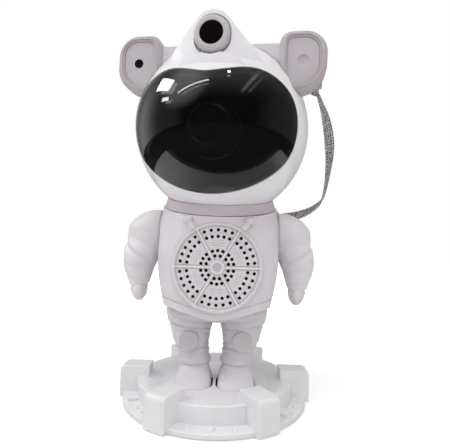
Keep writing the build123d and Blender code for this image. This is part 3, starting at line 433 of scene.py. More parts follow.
def bulge(off, high, middle, width):
    return high * np.exp(-((off - middle) / width) ** 2)


def creased(folds, turn, height):
    """How far each point moves out: each fold is a sharp valley with a soft roll on each side."""
    out = np.zeros(len(turn))
    side = turn / 90
    for inner, front, outer, start, end, depth, width in folds:
        line = front + (outer - inner) / 2 * side + ((outer + inner) / 2 - front) * side ** 2
        shown = ease(turn, start, start + FOLD_FADE) * (1 - ease(turn, end - FOLD_FADE, end))
        off = (height - line) / width
        rolls = bulge(off, *UPPER_ROLL) + bulge(off, *LOWER_ROLL)
        out += depth * shown * (rolls - bulge(off, 1, 0, 1))
    return out


mesh = bmesh.new()
levels = np.arange(LEG_ROWS[0][0], LEG_ROWS[-1][0] + 0.01, LEVEL_STEP)
middle, half_w, half_d, shift = through(LEG_ROWS, levels).T
for side in (-1, 1):
    skin(mesh, ovals(levels, side * middle, LEG_Y + shift, half_w, half_d))
levels = np.arange(SEAT_ROWS[0][0], SEAT_ROWS[-1][0] + 0.01, LEVEL_STEP)
half_w, half_d = through(SEAT_ROWS, levels).T
skin(mesh, ovals(levels, 0 * levels, 0 * levels + LEG_Y, half_w, half_d, 96, SEAT_SQUARE))
trousers = fused("trousers_moulding", mesh)

place, normal = points_of(trousers)
x, y, z = np.abs(place[:, 0]), place[:, 1], place[:, 2]
middle, half_w, half_d, shift = through(LEG_ROWS, np.clip(z, LEG_ROWS[0][0], LEG_ROWS[-1][0])).T
turn = np.degrees(np.arctan2(x - middle, -(y - LEG_Y - shift)))
out = LEG_FOLD_SCALE * creased(LEG_FOLDS, turn, z)
from_front = np.abs(turn)
rolls = ROLL_DEPTH * np.sin(z * 1.9 + 0.06 * turn) * ease(from_front, *ROLL_TURN)
out += rolls * ease(z, CUFF_Z + 2, CUFF_Z + 6)
out *= ease(z, CUFF_Z + 0.6, CUFF_Z + 2.4) * (1 - ease(z, BELT_Z, BELT_Z + 1.5))
out *= 1 - SIDE_DAMPING * ease(from_front, *SIDE_TURN)
near_knee = (np.hypot(x - KNEE_X, z - KNEE_Z) < KNEE_ROOM) & (from_front < KNEE_TURN)
out = np.where(near_knee, np.minimum(out, KNEE_BULGE), out)
put_points(trousers, place + normal * out[:, None])

cloth = suit_finish("trouser_abs", TROUSERS, 0.5)
# painted shade: the hollows of the folds are coloured darker
fold_painted_shade = cloth.node("NewGeometry", out="Pointiness").step(0.47, 0.40)
cloth.set("Base Color", cloth.mix(fold_painted_shade * 0.85, cloth.color, FOLD_PAINTED_SHADE))
trousers.data.materials.append(cloth.material)
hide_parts("trousers")
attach(trousers, "figure")

# ---------------------------------------------------------------- knee pads
# A flat disc with a rounded rim is glued into a round seat on each knee. It is a harder, darker
# grey plastic with a dull, finely turned face.
KNEE_GREY = (198, 194, 197)
knee_abs = moulded("knee_abs", KNEE_GREY, 0.5)
x, y, z = knee_abs.place()
from_middle = x.size() - KNEE_X * MM
height = z - KNEE_Z * MM
ring = ((from_middle * from_middle + height * height).root() * 9000).sine()
knee_abs.set("Normal", knee_abs.bump(ring * 0.5 + 0.5, 0.01 * MM, knee_abs.relief))
dress(knee_abs, "knee_pads")

# ---------------------------------------------------------------- jacket
# Two moulded shells meet at the sides and close round the loudspeaker. The front has the grille's
# seat, two ball-ended hose fittings and a shallow line above the hem.
dress(suit_finish("jacket_abs", SUIT), "jacket_front", "jacket_rear")

# ---------------------------------------------------------------- loudspeaker
# The pierced grille is pressed into its seat. Its spokes and dashes carry a painted highlight, with
# painted shade beside them, in the groove of its seat and in the hub's hole. Behind it are a
# pressed steel basket, a paper cone and a ferrite magnet.
GRILLE = (219, 214, 218)
GRILLE_PAINTED_HIGHLIGHT = (236, 232, 235)
GRILLE_PAINTED_SHADE = (172, 164, 170)
GRILLE_Z = 83.8          # middle of the grille; its further sizes are distances from there
HUB_R = (4.3, 4.8)
HUB_HOLE_R = (2.1, 2.6)
SEAT_LINE_R = (23.1, 23.6)
SECTORS_END_R = (23.2, 24.0)
DASH_ROWS = (11.7, 13.2, 14.7)
DASH_WIDTH = 0.4
DASH_PAINTED_SHADE = (0.65, 1.0) # the painted shade of a dash, from the dash's inner side outwards
DASH_EDGE = (0.95, 3.0)  # a dash lies between these distances from the middle of its sector
SPOKE_HALF = (0.45, 0.65)
SPOKE_PAINTED_SHADE = (0.75, 1.1)
PAPER = (34, 34, 36)
PAPER_FIBRE = (52, 52, 54)
BASKET_BLACK = (30, 30, 32)
FERRITE = (52, 52, 54)
grille_abs = suit_finish("grille_abs", GRILLE, 0.4)
x, y, z = grille_abs.place()
x, z = x * 1000, z * 1000 - GRILLE_Z
away = (x * x + z * z).root()
turn = z.angle_to(x) * 3
from_spoke = turn.sine().size() * away * (1 / 3)
from_sector = turn.cosine().size() * away * (1 / 3)
past_hub = away.step(*HUB_R)
# painted highlight along the spokes, and painted shade beside them
spokes = (1 - from_spoke.step(*SPOKE_HALF)) * past_hub
beside = from_spoke.band(*SPOKE_PAINTED_SHADE, 0.2) * past_hub * (1 - away.step(*SECTORS_END_R))


def rings(away, start, end, soft):
    """A thin ring for each row of dashes, this far outside the row's radius."""
    return sum(away.band(row + start, row + end, soft) for row in DASH_ROWS)


# painted highlight on the dashes, and painted shade just outside each row of them
in_row = from_sector.band(*DASH_EDGE, 0.2)
dashes = rings(away, 0, DASH_WIDTH, 0.12) * in_row
dash_painted_shade = rings(away, *DASH_PAINTED_SHADE, 0.15) * in_row * 0.48
# painted shade in the groove of the seat and in the hub's hole
seat_line = away.band(*SEAT_LINE_R, 0.3) + (1 - away.step(*HUB_HOLE_R)) * 0.9
painted_shade_share = (beside + dash_painted_shade + seat_line * 0.7) * 0.8
with_painted_shade = grille_abs.mix(painted_shade_share, grille_abs.color, GRILLE_PAINTED_SHADE)
grille_abs.set("Base Color", grille_abs.mix(spokes * 0.6 + dashes * 0.5, with_painted_shade, GRILLE_PAINTED_HIGHLIGHT))
dress(grille_abs, "speaker_grille")
dress(moulded("basket_paint", BASKET_BLACK, 0.42), "speaker_frame")
cone = Finish("cone_paper", PAPER, 0.9)
fibres = cone.noise(700, 5, (1, 1, 0.3))
cone.set("Base Color", cone.mix(fibres, PAPER, PAPER_FIBRE))
cone.set("Normal", cone.bump(fibres, 0.06 * MM))
dress(cone, "speaker_cone")
dress(moulded("ferrite", FERRITE, 0.65, 8, 0.03 * MM), "speaker_magnet")

# ---------------------------------------------------------------- boards and sockets
# Green glass-fibre boards with copper tracks under the solder mask: the main board on posts in the
# back shell, the key board behind the keys, and the lamp board in the head.
BOARD_GREEN = (34, 106, 66)
TRACK_GREEN = (58, 138, 84)
SWITCH_BLACK = (44, 44, 46)
board = Finish("solder_mask", BOARD_GREEN, 0.3)
cells = board.node("TexVoronoi", {"distance": "MANHATTAN", "feature": "F1"},
                   {"Vector": board.node("TexCoord", out="Object"), "Scale": 420.0}, "Distance")
tracks = (cells * 9).rest().band(0.2, 0.55, 0.1)
board.set("Base Color", board.mix(tracks, BOARD_GREEN, TRACK_GREEN))
board.set("Normal", board.bump(tracks, 0.03 * MM))
dress(board, "main_board", "key_board", "led_board")
dress(moulded("switch_black", SWITCH_BLACK, 0.4), "key_switches")
dress(metal("socket_steel", STEEL, 0.28, (1, 0.2, 1)), "usb_socket")

# ---------------------------------------------------------------- backpack and keys
# A box-shaped pack closes the back. Three round keys, with a power sign, a star and two waves
# pressed into them, stand out of its back, and the power inlet is below them.
PACK = (210, 205, 209)
KEY_WHITE = (226, 224, 226)
KEY_SIGN = (120, 118, 122)
KEY_Z = 98.0
KEY_PITCH = 11.0
KEY_FACE_Y = (44.4, 44.8)
dress(suit_finish("pack_abs", PACK), "backpack_shell")


def key_finish(name, middle_x, sign):
    """A glossy key with a sunk sign; sign takes x and z from the key's middle, in mm."""
    finish = moulded(name, KEY_WHITE, 0.3)
    x, y, z = finish.place()
    mark = sign((x - middle_x * MM) * 1000, (z - KEY_Z * MM) * 1000)
    mark = mark * y.step(KEY_FACE_Y[0] * MM, KEY_FACE_Y[1] * MM)
    finish.set("Base Color", finish.mix(mark, finish.color, KEY_SIGN))
    finish.set("Normal", finish.bump(1 - mark, 0.2 * MM, finish.relief))
    return finish


def power_sign(x, z):
    away = (x * x + z * z).root()
    ring = away.band(1.15, 1.5, 0.08) * (1 - x.size().band(-1, 0.5, 0.1) * z.step(0, 0.1))
    bar = (1 - x.size().step(0.15, 0.25)) * z.band(0.3, 1.8, 0.08)
    return ring.math("MAXIMUM", bar)


def star_sign(x, z):
    reach = (x.angle_to(z) * 5).cosine() * 0.55 + 1.15
    away = (x * x + z * z).root()
    return 1 - (away - reach).step(-0.05, 0.08)


def wave_sign(x, z):
    wave = (x * 2.6).sine() * 0.35
    low = (z - wave + 0.55).size().step(0.14, 0.24)
    high = (z - wave - 0.55).size().step(0.14, 0.24)
    return (2 - low - high) * (1 - x.size().step(1.7, 1.85))


dress(key_finish("power_key", -KEY_PITCH, power_sign), "power_button")
dress(key_finish("star_key", 0, star_sign), "star_button")
dress(key_finish("wave_key", KEY_PITCH, wave_sign), "nebula_button")

# ---------------------------------------------------------------- arms
# Each arm is one blown moulding that swings on a pin: a round shoulder, a puffed sleeve with a deep
# crease at the elbow, a rolled wrist, and a mitten with a short thumb in front.
SLEEVE = (224, 219, 223)
ARM_TOP = 118.2
BODY_SIDE = 37.4         # half width of the jacket
ARM_INNER = 37.7         # the flat face that turns against the jacket
# Distance from the top, inner and outer side beyond the body, half depth and shift in y.
ARM_ROWS = [
    (-59.0, 12.0, 15.0, 1.9, -1.2), (-56.7, 10.0, 17.4, 4.6, -1.2), (-52.7, 8.5, 19.2, 6.2, -1.2),
    (-49.2, 8.4, 19.8, 6.6, -1.1), (-45.2, 6.8, 21.4, 8.2, -0.9), (-39.2, 5.2, 23.8, 10.2, -0.6),
    (-32.2, 2.4, 25.0, 11.8, -0.4), (-25.2, -1.0, 24.0, 12.4, -0.2), (-18.6, -4.0, 22.2, 12.6, 0.0),
    (-12.2, -6.0, 22.2, 13.3, 0.0), (-6.2, -7.0, 18.6, 11.8, 0.0), (-2.2, -7.0, 13.1, 8.6, 0.0),
    (0.4, -4.0, 6.5, 4.0, 0.0),
]
ARM_LEVEL_STEP = 0.5
ARM_FOLDS = [            # as the folds of a leg
    (84.0, 88.5, 99.4, -60, 170, 1.1, 1.5),
    (92.0, 96.5, 103.0, -70, 40, 0.5, 1.6),
    (80.0, 80.5, 86.0, -120, 60, 0.4, 1.6),
    (74.0, 72.5, 77.5, -120, 120, 0.35, 1.5),
    (69.6, 68.6, 69.0, -200, 200, 0.8, 0.8),
    (70.0, 70.5, 90.0, 80, 170, 0.5, 1.5),
]
THUMB = Vector((50.5, -6.4, 66.0))
THUMB_R = 3.3
THUMB_STRETCH = (0.95, 0.9, 1.35, 1)
THUMB_LEAN = 14
THUMB_ROOM = 4.5         # the folds stay this far from the thumb
THUMB_REAR = -5.0        # and behind it they are free again
OUTER_DAMPING = 0.25     # share of the folds' depth that is gone on the outer side
OUTER_TURN = (60, 95)    # degrees from the front over which it goes there
INNER_TURN = (50, 90)    # and on the inner side


def blown_arm(name, side):
    mesh = bmesh.new()
    rows = np.array(ARM_ROWS, float)
    rows[:, 0] += ARM_TOP
    rows[:, 1:3] += BODY_SIDE
    levels = np.arange(rows[0, 0], rows[-1, 0], ARM_LEVEL_STEP)
    inner, outer, half_d, middle_y = through(rows, levels).T
    tube = ovals(levels, (inner + outer) / 2, middle_y, (outer - inner) / 2, half_d)
    skin(mesh, [[(side * max(x, ARM_INNER), y, z) for x, y, z in ring] for ring in tube])
    thumb = bmesh.ops.create_icosphere(mesh, subdivisions=4, radius=THUMB_R * MM)
    stretch = Matrix.Diagonal(THUMB_STRETCH)
    move = Matrix.Translation(Vector((side * THUMB.x, THUMB.y, THUMB.z)) * MM)
    lean = Matrix.Rotation(radians(side * THUMB_LEAN), 4, "Y")
    bmesh.ops.transform(mesh, matrix=move @ lean @ stretch, verts=thumb["verts"])
    bmesh.ops.recalc_face_normals(mesh, faces=mesh.faces)
    arm = fused(name, mesh)
    place, normal = points_of(arm)
    x, y, z = side * place[:, 0], place[:, 1], place[:, 2]
    inner, outer, half_d, middle_y = through(rows, np.clip(z, rows[0, 0], rows[-1, 0])).T
    turn = np.degrees(np.arctan2(x - (inner + outer) / 2, middle_y - y))
    out = creased(ARM_FOLDS, turn, z)
    near_thumb = (np.hypot(x - THUMB.x, z - THUMB.z) < THUMB_ROOM) & (y < THUMB_REAR)
    out = np.where(near_thumb, 0.0, out)
    out *= ease(x, ARM_INNER + 0.2, ARM_INNER + 3)
    out *= 1 - SIDE_DAMPING * ease(-turn, *INNER_TURN) - OUTER_DAMPING * ease(turn, *OUTER_TURN)
    put_points(arm, place + normal * out[:, None])
    arm.data.materials.append(sleeve.material)
    return arm


sleeve = suit_finish("sleeve_abs", SLEEVE)
for name, side in (("left_arm", -1), ("right_arm", 1)):
    arm = blown_arm(name + "_moulding", side)
    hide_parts(name)
    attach(arm, name)
dress(plain_steel, "arm_pivots")

# ---------------------------------------------------------------- neck
# The collar is a darker pink-grey ring that turns in the jacket. The helmet's bottom rests in its
# bowl on a waxy liner, and a magnet under the bowl pulls on a steel dish inside the helmet.
COLLAR = (203, 193, 200)
LINER = (232, 231, 224)
dress(suit_finish("collar_abs", COLLAR), "neck_ring")
dress(moulded("seat_abs", SUIT, 0.5), "neck_seat")
dress(moulded("liner_acetal", LINER, 0.35, 4), "friction_ring")
dress(metal("dish_steel", STEEL, 0.26), "steel_dish")

# ---------------------------------------------------------------- helmet
# Front and rear shells in glossy white ABS, polished in the mould. The hood for the lamp and the
# brow under it are part of the front shell. The lamp's pins go in through a hole in each of the
# hood's sides, whose wall is a little greyer beyond the pin's end, from a small step on.
HELMET = (236, 234, 237)
PIN_HOLE = (176, 173, 175)
PIN_HOLE_R = (1.1, 1.35)
PIN_END = (12.5, 13.0)   # from the hood's middle
HEAD_BALL = Vector((0, -10.389, 168.401))
HEAD_TURN = -8.4
HEAD_NOD = 2.8
HEAD_LEAN = 1.2
LAMP_PIVOT_Y = -40.45    # these two from the middle of the helmet's sphere
LAMP_Z = 40.15
head_place = (Matrix.Translation(HEAD_BALL * MM) @ Matrix.Rotation(radians(HEAD_TURN), 4, "Z")
              @ Matrix.Rotation(radians(HEAD_NOD), 4, "X")
              @ Matrix.Rotation(radians(HEAD_LEAN), 4, "Y"))


def dot(wires, vector):
    """How far a point or direction, given as x, y and z wires, reaches along a vector."""
    x, y, z = wires
    return x * vector.x + y * vector.y + z * vector.z


def in_head(finish):
    """Position in millimetres along the head's own axes, as wires."""
    wires = [wire * 1000 - middle for wire, middle in zip(finish.place(), HEAD_BALL)]
    return [dot(wires, axis) for axis in head_place.to_3x3().transposed()]


helmet = moulded("helmet_abs", HELMET, 0.32, 3, 0.004 * MM, Coat_Weight=0.25, Coat_Roughness=0.12)
x, y, z = in_head(helmet)
y, z = y - LAMP_PIVOT_Y, z - LAMP_Z
hole_wall = (1 - (y * y + z * z).root().step(*PIN_HOLE_R)) * x.size().step(*PIN_END)
helmet.set("Base Color", helmet.mix(hole_wall, helmet.color, PIN_HOLE))
helmet.set("Normal", helmet.bump(hole_wall, 0.4 * MM, helmet.relief))
dress(helmet, "helmet_front", "helmet_rear")

# ---------------------------------------------------------------- visor
# A domed face piece of smoked acrylic, glossy like glass, held in a stepped opening of the helmet.
# It looks black, but lets the lamp behind it shine through.
SMOKE = (6, 6, 7)
DUST = (12, 12, 13)
visor = Finish("smoked_acrylic", SMOKE, 0.03, IOR=1.7, Coat_Weight=1.0, Coat_Roughness=0.02,
               Alpha=0.62)
fine_dust = visor.noise(900, 4)
visor.set("Roughness", visor.noise(60, 2) * 0.02 + 0.02)
visor.set("Base Color", visor.mix(fine_dust.step(0.66, 0.8), SMOKE, DUST))
dress(visor, "visor")

# ---------------------------------------------------------------- lens, ripple disc and lamps
# Behind the visor a black bulkhead carries the nebula lens in its bright tube. A geared motor turns
# a rippled glass disc in front of four lamps, which sit on a board with a finned heat sink.
OPTIC_BLACK = (24, 24, 26)
TUBE_BRIGHT = (214, 214, 218)
LENS_TINT = (40, 42, 48)
RIPPLE_TINT = (196, 208, 220)
ACETAL = (228, 227, 222)
ALUMINIUM = (176, 177, 180)
LAMP_YELLOW = (240, 214, 96)
LAMP_AMBER = (214, 176, 58)
dress(moulded("bulkhead_black", OPTIC_BLACK, 0.5), "optic_bracket")
dress(moulded("tube_bright", TUBE_BRIGHT, 0.1, 2, 0.002 * MM, Metallic=1.0, Coat_Weight=1.0),
      "lens_tube")


def glass(name, color, alpha, ripple=0.01 * MM):
    """Clear moulded lens or rippled glass."""
    finish = Finish(name, color, 0.06, IOR=1.5, Alpha=alpha)
    flow = finish.noise(140, 2)
    finish.set("Roughness", flow * 0.06 + 0.02)
    finish.set("Normal", finish.bump(flow, ripple))
    return finish


dress(glass("lens_acrylic", LENS_TINT, 0.8), "nebula_lens")
dress(glass("ripple_glass", RIPPLE_TINT, 0.5, 0.6 * MM), "ripple_disc")
dress(moulded("pinion_acetal", ACETAL, 0.4), "motor_pinion")
dress(metal("motor_can", STEEL, 0.24, (0.15, 1, 1)), "wheel_motor")
dress(metal("sink_aluminium", ALUMINIUM, 0.34, (1, 1, 0.15)), "heat_sink")
lamp_resin = Finish("lamp_resin", LAMP_YELLOW, 0.25)
lamp_resin.set("Base Color", lamp_resin.mix(lamp_resin.noise(1500, 2), LAMP_YELLOW, LAMP_AMBER))
dress(lamp_resin, "led_emitters")

# ---------------------------------------------------------------- ears
# Each ear is a cup with a chamfered rim and a recessed face plate. The left face has the black
# window for the remote control, the right one a sunk boss. A bar joins each ear to the hood.
EAR = (184, 177, 182)
EAR_FACE = (190, 183, 188)
BAR_GREY = (214, 211, 214)
WINDOW_BLACK = (22, 16, 22)
dress(suit_finish("ear_abs", EAR, 0.46), "left_ear_cup", "right_ear_cup")
dress(moulded("ear_face_abs", EAR_FACE, 0.55, 5, 0.02 * MM), "left_ear_pad", "right_ear_pad")
dress(moulded("bar_abs", BAR_GREY, 0.48), "headband")
window = Finish("infrared_window", WINDOW_BLACK, 0.12, Coat_Weight=0.5)
window.set("Roughness", window.noise(300, 2) * 0.1 + 0.08)
dress(window, "ir_window")

# ---------------------------------------------------------------- star lamp
# The barrel tilts on two brass pins in the hood, and a soft pleated seal closes the gap round it.
# A laser behind its dark round lens throws the star points.
BARREL = (192, 188, 191)
BRASS = (186, 152, 84)
LAMP_BLACK = (10, 5, 8)
SEAL = (214, 210, 213)
LAMP_R = 9.6
HOOD_R = 45.55
SEAL_RIM_R = LAMP_R + 0.4
SEAL_DEEP_R = LAMP_R - 0.15
SEAL_LIFT = (1.1, -1.3)  # how much longer than round the hood's opening is, upwards and downwards
SEAL_INSET = 0.25        # the seal's rim lies this far inside the hood's surface
SEAL_RINGS = 7
SEAL_POINTS = 96
SEAL_PLEAT = 0.12
SEAL_WAVES = 1.5         # of the pleats, from rim to barrel
SEAL_DEEP_Y = -42.9
dress(moulded("barrel_abs", BARREL, 0.36, 4, 0.006 * MM), "star_barrel")


def pleated_seal(finish):
    """A thin skirt from the hood's opening in to the barrel."""
    mesh = bmesh.new()
    loops = []
    for share in np.linspace(0, 1, SEAL_RINGS):
        loop = []
        for angle in np.linspace(0, 2 * pi, SEAL_POINTS, endpoint=False):
            c, s = cos(angle), sin(angle)
            lift = SEAL_LIFT[0] if s > 0 else SEAL_LIFT[1]
            rim_x, rim_z = SEAL_RIM_R * c, SEAL_RIM_R * s + lift * abs(s) ** 0.5
            rim_y = SEAL_INSET - sqrt(HOOD_R ** 2 - rim_x ** 2)
            pleat = SEAL_PLEAT * sin(share * SEAL_WAVES * 2 * pi)
            point = Vector((rim_x + (SEAL_DEEP_R * c - rim_x) * share,
                            rim_y + (SEAL_DEEP_Y - rim_y) * share - pleat,
                            LAMP_Z + rim_z + (SEAL_DEEP_R * s - rim_z) * share))
            loop.append(mesh.verts.new(head_place @ (point * MM)))
        loops.append(loop)
    for outer, inner in zip(loops, loops[1:]):
        for index in range(len(outer)):
            after = (index + 1) % len(outer)
            corners = (outer[index], outer[after], inner[after], inner[index])
            mesh.faces.new(corners).smooth = True
    piece = object_from("lamp_seal", mesh)
    piece.data.materials.append(finish.material)
    return piece


seal = pleated_seal(moulded("lamp_seal_rubber", SEAL, 0.6, 6, 0.02 * MM))
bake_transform(seal)
lamp_lens = Finish("lamp_lens", LAMP_BLACK, 0.1, Coat_Weight=1.0, Coat_Roughness=0.05)
lamp_lens.set("Roughness", lamp_lens.noise(200, 2) * 0.08 + 0.06)
dress(lamp_lens, "star_lens")
dress(metal("laser_brass", BRASS, 0.25), "laser_module", "star_pivots")

# ---------------------------------------------------------------- strap
# A flat woven band in two greys hangs from a lug on the back of the right ear to a holder on the
# jacket. It twists as it hangs, and it is made in three stretches.
STRAP_GREY = (120, 119, 121)
YARN_DARK = (58, 56, 60)
YARN_LIGHT = (198, 194, 198)
STRAP_WIDTH = 8.2
STRAP_THICK = 1.3
STRAP_ROWS = [           # from the jacket up to the ear: point, and direction of the band's width
    ((42.4, 21.2, 117.0), (0.0, 0.5, 0.85)),
    ((51.5, 21.6, 118.6), (0.15, 0.65, 0.75)),
    ((62.0, 20.8, 122.0), (0.25, 0.75, 0.6)),
    ((71.5, 17.5, 129.0), (0.35, 0.85, 0.4)),
    ((73.0, 13.5, 137.5), (0.4, 0.9, 0.2)),
    ((73.0, 8.5, 146.0), (0.5, 0.86, 0.1)),
    ((72.6, 2.5, 155.0), (0.7, 0.7, 0.1)),
    ((71.0, -3.5, 166.5), (0.9, 0.45, 0.1)),
    ((66.4, -11.5, 178.5), (0.8, 0.6, 0.0)),
    ((60.6, -18.6, 188.0), (0.55, 0.83, 0.0)),
    ((56.6, -22.4, 194.2), (0.42, 0.85, 0.0)),
    ((54.4, -28.2, 194.3), (0.9, -0.1, 0.1)),
]
LOWER_SHARE = 0.53       # share of the band in its lower stretch, from the jacket to the collar
MIDDLE_SHARE = 0.76      # and in the lower and middle stretches, up to below the joint between collar and liner
SPLICE_POINTS = 6        # points of the line beside each end of a stretch
YARN = 1.9               # spacing of the weave

route = bpy.data.curves.new("strap_route", "CURVE")
route.dimensions = "3D"
route.resolution_u = 16
spline = route.splines.new("NURBS")
spline.points.add(len(STRAP_ROWS) - 1)
for knot, (point, side) in zip(spline.points, STRAP_ROWS):
    knot.co = (*[size * MM for size in point], 1)
spline.order_u = 3
spline.use_endpoint_u = True
guide = linked(bpy.data.objects.new("strap_route", route))
line = bpy.data.meshes.new_from_object(guide)
band_line = [vertex.co.copy() for vertex in line.vertices]
bpy.data.objects.remove(guide)

run = [0.0]
for before, after in zip(band_line, band_line[1:]):
    run.append(run[-1] + (after - before).length)
sides = [Vector(side) for point, side in STRAP_ROWS]


def band_frame(index):
    """Direction of the band's width and of its face at a point of its line."""
    along = band_line[min(index + 1, len(band_line) - 1)] - band_line[max(index - 1, 0)]
    where = index / (len(band_line) - 1) * (len(sides) - 1)
    low = min(int(where), len(sides) - 2)
    across = sides[low].lerp(sides[low + 1], where - low)
    across = (across - along * across.dot(along) / along.length_squared).normalized()
    return across, along.cross(across).normalized()


def band_piece(name, first, last):
    """A stretch of the band, with its place along and across kept for the weave."""
    half, thick = STRAP_WIDTH / 2 * MM, STRAP_THICK / 2 * MM
    rim = [(share * (half - thick), thick) for share in np.linspace(-1, 1, 9)]
    outline = rim + [(half, 0)] + [(a, -b) for a, b in reversed(rim)] + [(-half, 0)]
    mesh = bmesh.new()
    along_layer = mesh.verts.layers.float.new("along")
    across_layer = mesh.verts.layers.float.new("across")
    loops = []
    for index in range(first, last + 1):
        across, face = band_frame(index)
        loop = []
        for a, b in outline:
            vertex = mesh.verts.new(band_line[index] + across * a + face * b)
            vertex[along_layer] = run[index]
            vertex[across_layer] = a
            loop.append(vertex)
        loops.append(loop)
    for lower, upper in zip(loops, loops[1:]):
        for index in range(len(outline)):
            after = (index + 1) % len(outline)
            corners = (lower[index], lower[after], upper[after], upper[index])
            mesh.faces.new(corners).smooth = True
    mesh.faces.new(reversed(loops[0]))
    mesh.faces.new(loops[-1])
    bmesh.ops.recalc_face_normals(mesh, faces=mesh.faces)
    piece = object_from(name, mesh)
    piece.data.materials.append(webbing.material)
    return piece


def first_past(share):
    """Index of the first point of the line past this share of its length."""
    return next(index for index, s in enumerate(run) if s >= run[-1] * share)


webbing = Finish("strap_webbing", STRAP_GREY, 0.8)
along, across = [webbing.node("Attribute", {"attribute_name": name}, out="Fac") * (1000 / YARN)
                 for name in ("along", "across")]
twill = ((along + across) * pi).sine() * ((along - across) * pi).sine()
thread = twill.step(-0.5, 0.5)
fleck = webbing.noise(820, 2).step(0.46, 0.56)
webbing.set("Base Color", webbing.mix(thread * 0.5 + fleck * 0.5, YARN_DARK, YARN_LIGHT))
webbing.set("Normal", webbing.bump(thread * 0.8 + fleck * 0.2, 0.2 * MM))

lower_end = first_past(LOWER_SHARE)
middle_end = first_past(MIDDLE_SHARE)
lower_band = band_piece("strap_lower", 0, lower_end)
middle_band = band_piece("strap_middle", lower_end, middle_end)
upper_band = band_piece("strap_upper", middle_end, len(band_line) - 1)
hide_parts("strap")
band_line[lower_end - SPLICE_POINTS]
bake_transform(lower_band)
band_line[lower_end + SPLICE_POINTS]
band_line[middle_end - SPLICE_POINTS]
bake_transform(middle_band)
band_line[middle_end + SPLICE_POINTS]
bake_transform(upper_band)
band_line[:lower_end + 1]
dress(suit_finish("lug_abs", EAR), "strap_loop")
dress(suit_finish("clip_abs", SUIT), "strap_clip")

# ---------------------------------------------------------------- table
# A plain pale table. It shines white for the camera further off, so that it has no horizon. In
# reflections it has a painted shadow of the object near it and ends at an edge, with a dark floor
# beyond.
TABLE_PALE = (236, 236, 236)
TABLE_PAINTED_SHADOW = (140, 140, 140)
TABLE_SIZE = 6
SHINE_NEAR = 0.32        # the table's own light near the object; far off it is 1
SHINE_FROM = (0.1, 0.55)
PAINTED_SHADOW_X = 0.1              # middle of the painted shadow in reflections
TABLE_EDGE_Y = -0.11     # where the table ends in reflections, and its sides there
TABLE_SIDES = (-0.40, 0.565)
FLOOR_DARK = (0.045, 0.045, 0.045, 1)

bpy.ops.mesh.primitive_plane_add(size=TABLE_SIZE, location=(0, 0, 0))
floor = bpy.context.object
floor.name = "table"
table = Finish("pale_table", TABLE_PALE, 0.7)
x, y, z = table.place()
shine = (x * x + y * y).root().step(*SHINE_FROM) * (1 - SHINE_NEAR) + SHINE_NEAR
table.set("Emission Color", table.ray("Camera") * shine)
table.set("Emission Strength", 1.0)
glossy_ray = table.ray("Glossy")
# painted shadow of the object on the table, seen only in reflections
painted_shadow = glossy_ray * (1 - (x - PAINTED_SHADOW_X).size().step(0.08, 0.3)) * 0.75
table.set("Base Color", table.mix(painted_shadow, TABLE_PALE, TABLE_PAINTED_SHADOW))
dark = table.node("BsdfDiffuse", None, {"Color": FLOOR_DARK})
on_table = y.step(TABLE_EDGE_Y - 0.002, TABLE_EDGE_Y + 0.002) * x.band(*TABLE_SIDES, 0.01)
beyond = glossy_ray * (1 - on_table)
shown = table.node("MixShader", None,
                   {0: beyond, 1: Wire(table, table.shader.outputs[0]), 2: dark})
table.join(shown, table.tree.nodes["Material Output"].inputs["Surface"])
floor.data.materials.append(table.material)

# ---------------------------------------------------------------- room
# The camera sees white all round, and the object gets soft light that is brighter from above.
# Reflections show a dark room instead: a lit ceiling, haze round the window, dim walls, a streak.
SOFT_WORLD = 0.5
SOFT_LEVEL = 0.66
SOFT_UPWARD = 0.9        # how much brighter straight up than at the horizon
GLOW = (-55, 41)         # azimuth and elevation of the haze's middle
GLOW_COSINE = (0.87, 1.0)
STREAK_ENDS = ((72, 56), (25, 31))
CEILING_LIGHT = 0.3      # these say how bright each side of the room is in reflections
HAZE_LIGHT = 0.85
LEFT_FRONT_LIGHT = 0.12
LEFT_REAR_LIGHT = 0.47
RIGHT_LIGHT = 0.1
BACK_LIGHT = 0.3
STREAK_LIGHT = 0.9
DARK_ROOM = 0.026


def bearing(azimuth, elevation):
    """Direction at these angles: azimuth from the front, to the figure's +X side."""
    a, e = radians(azimuth), radians(elevation)
    return Vector((sin(a) * cos(e), -cos(a) * cos(e), sin(e)))


world = bpy.data.worlds.new("studio")
bpy.context.scene.world = world
world.use_nodes = True
studio = Shading(world.node_tree)
direction = studio.place("Generated")
x, y, z = direction
ceiling = z.step(0.40, 0.92) * (1 - x.step(0.3, 0.7) * 0.4) * CEILING_LIGHT
haze = dot(direction, bearing(*GLOW)).step(*GLOW_COSINE) * HAZE_LIGHT
rearward = y.step(-0.15, 0.3) * (LEFT_REAR_LIGHT - LEFT_FRONT_LIGHT) + LEFT_FRONT_LIGHT
walls = (0 - x).step(0.7, 0.9) * rearward + x.step(0.6, 0.95) * RIGHT_LIGHT
back_wall = y.step(0.1, 0.5) * BACK_LIGHT
first, last = [bearing(*end) for end in STREAK_ENDS]
off_streak = dot(direction, first.cross(last).normalized())
bright_line = 1 - (off_streak + 0.03).size().step(0.0, 0.05)
faint_line = (1 - (off_streak - 0.07).size().step(0.0, 0.04)) * 0.5
streak = (bright_line + faint_line) * (x.band(0.38, 0.52, 0.12) * z.band(0.58, 0.8, 0.06))
reflected = ceiling + haze + walls + back_wall + streak * STREAK_LIGHT + DARK_ROOM
glossy_ray = studio.ray("Glossy")
clear = studio.ray("Camera").math("MAXIMUM", studio.ray("Transmission"))
soft = (1 - glossy_ray) * (z * SOFT_UPWARD + SOFT_LEVEL) * SOFT_WORLD
strength = clear + (1 - clear) * (glossy_ray * reflected + soft)
background = studio.tree.nodes["Background"]
studio.join(strength, background.inputs["Strength"])
background.inputs["Color"].default_value = (1, 1, 1, 1)

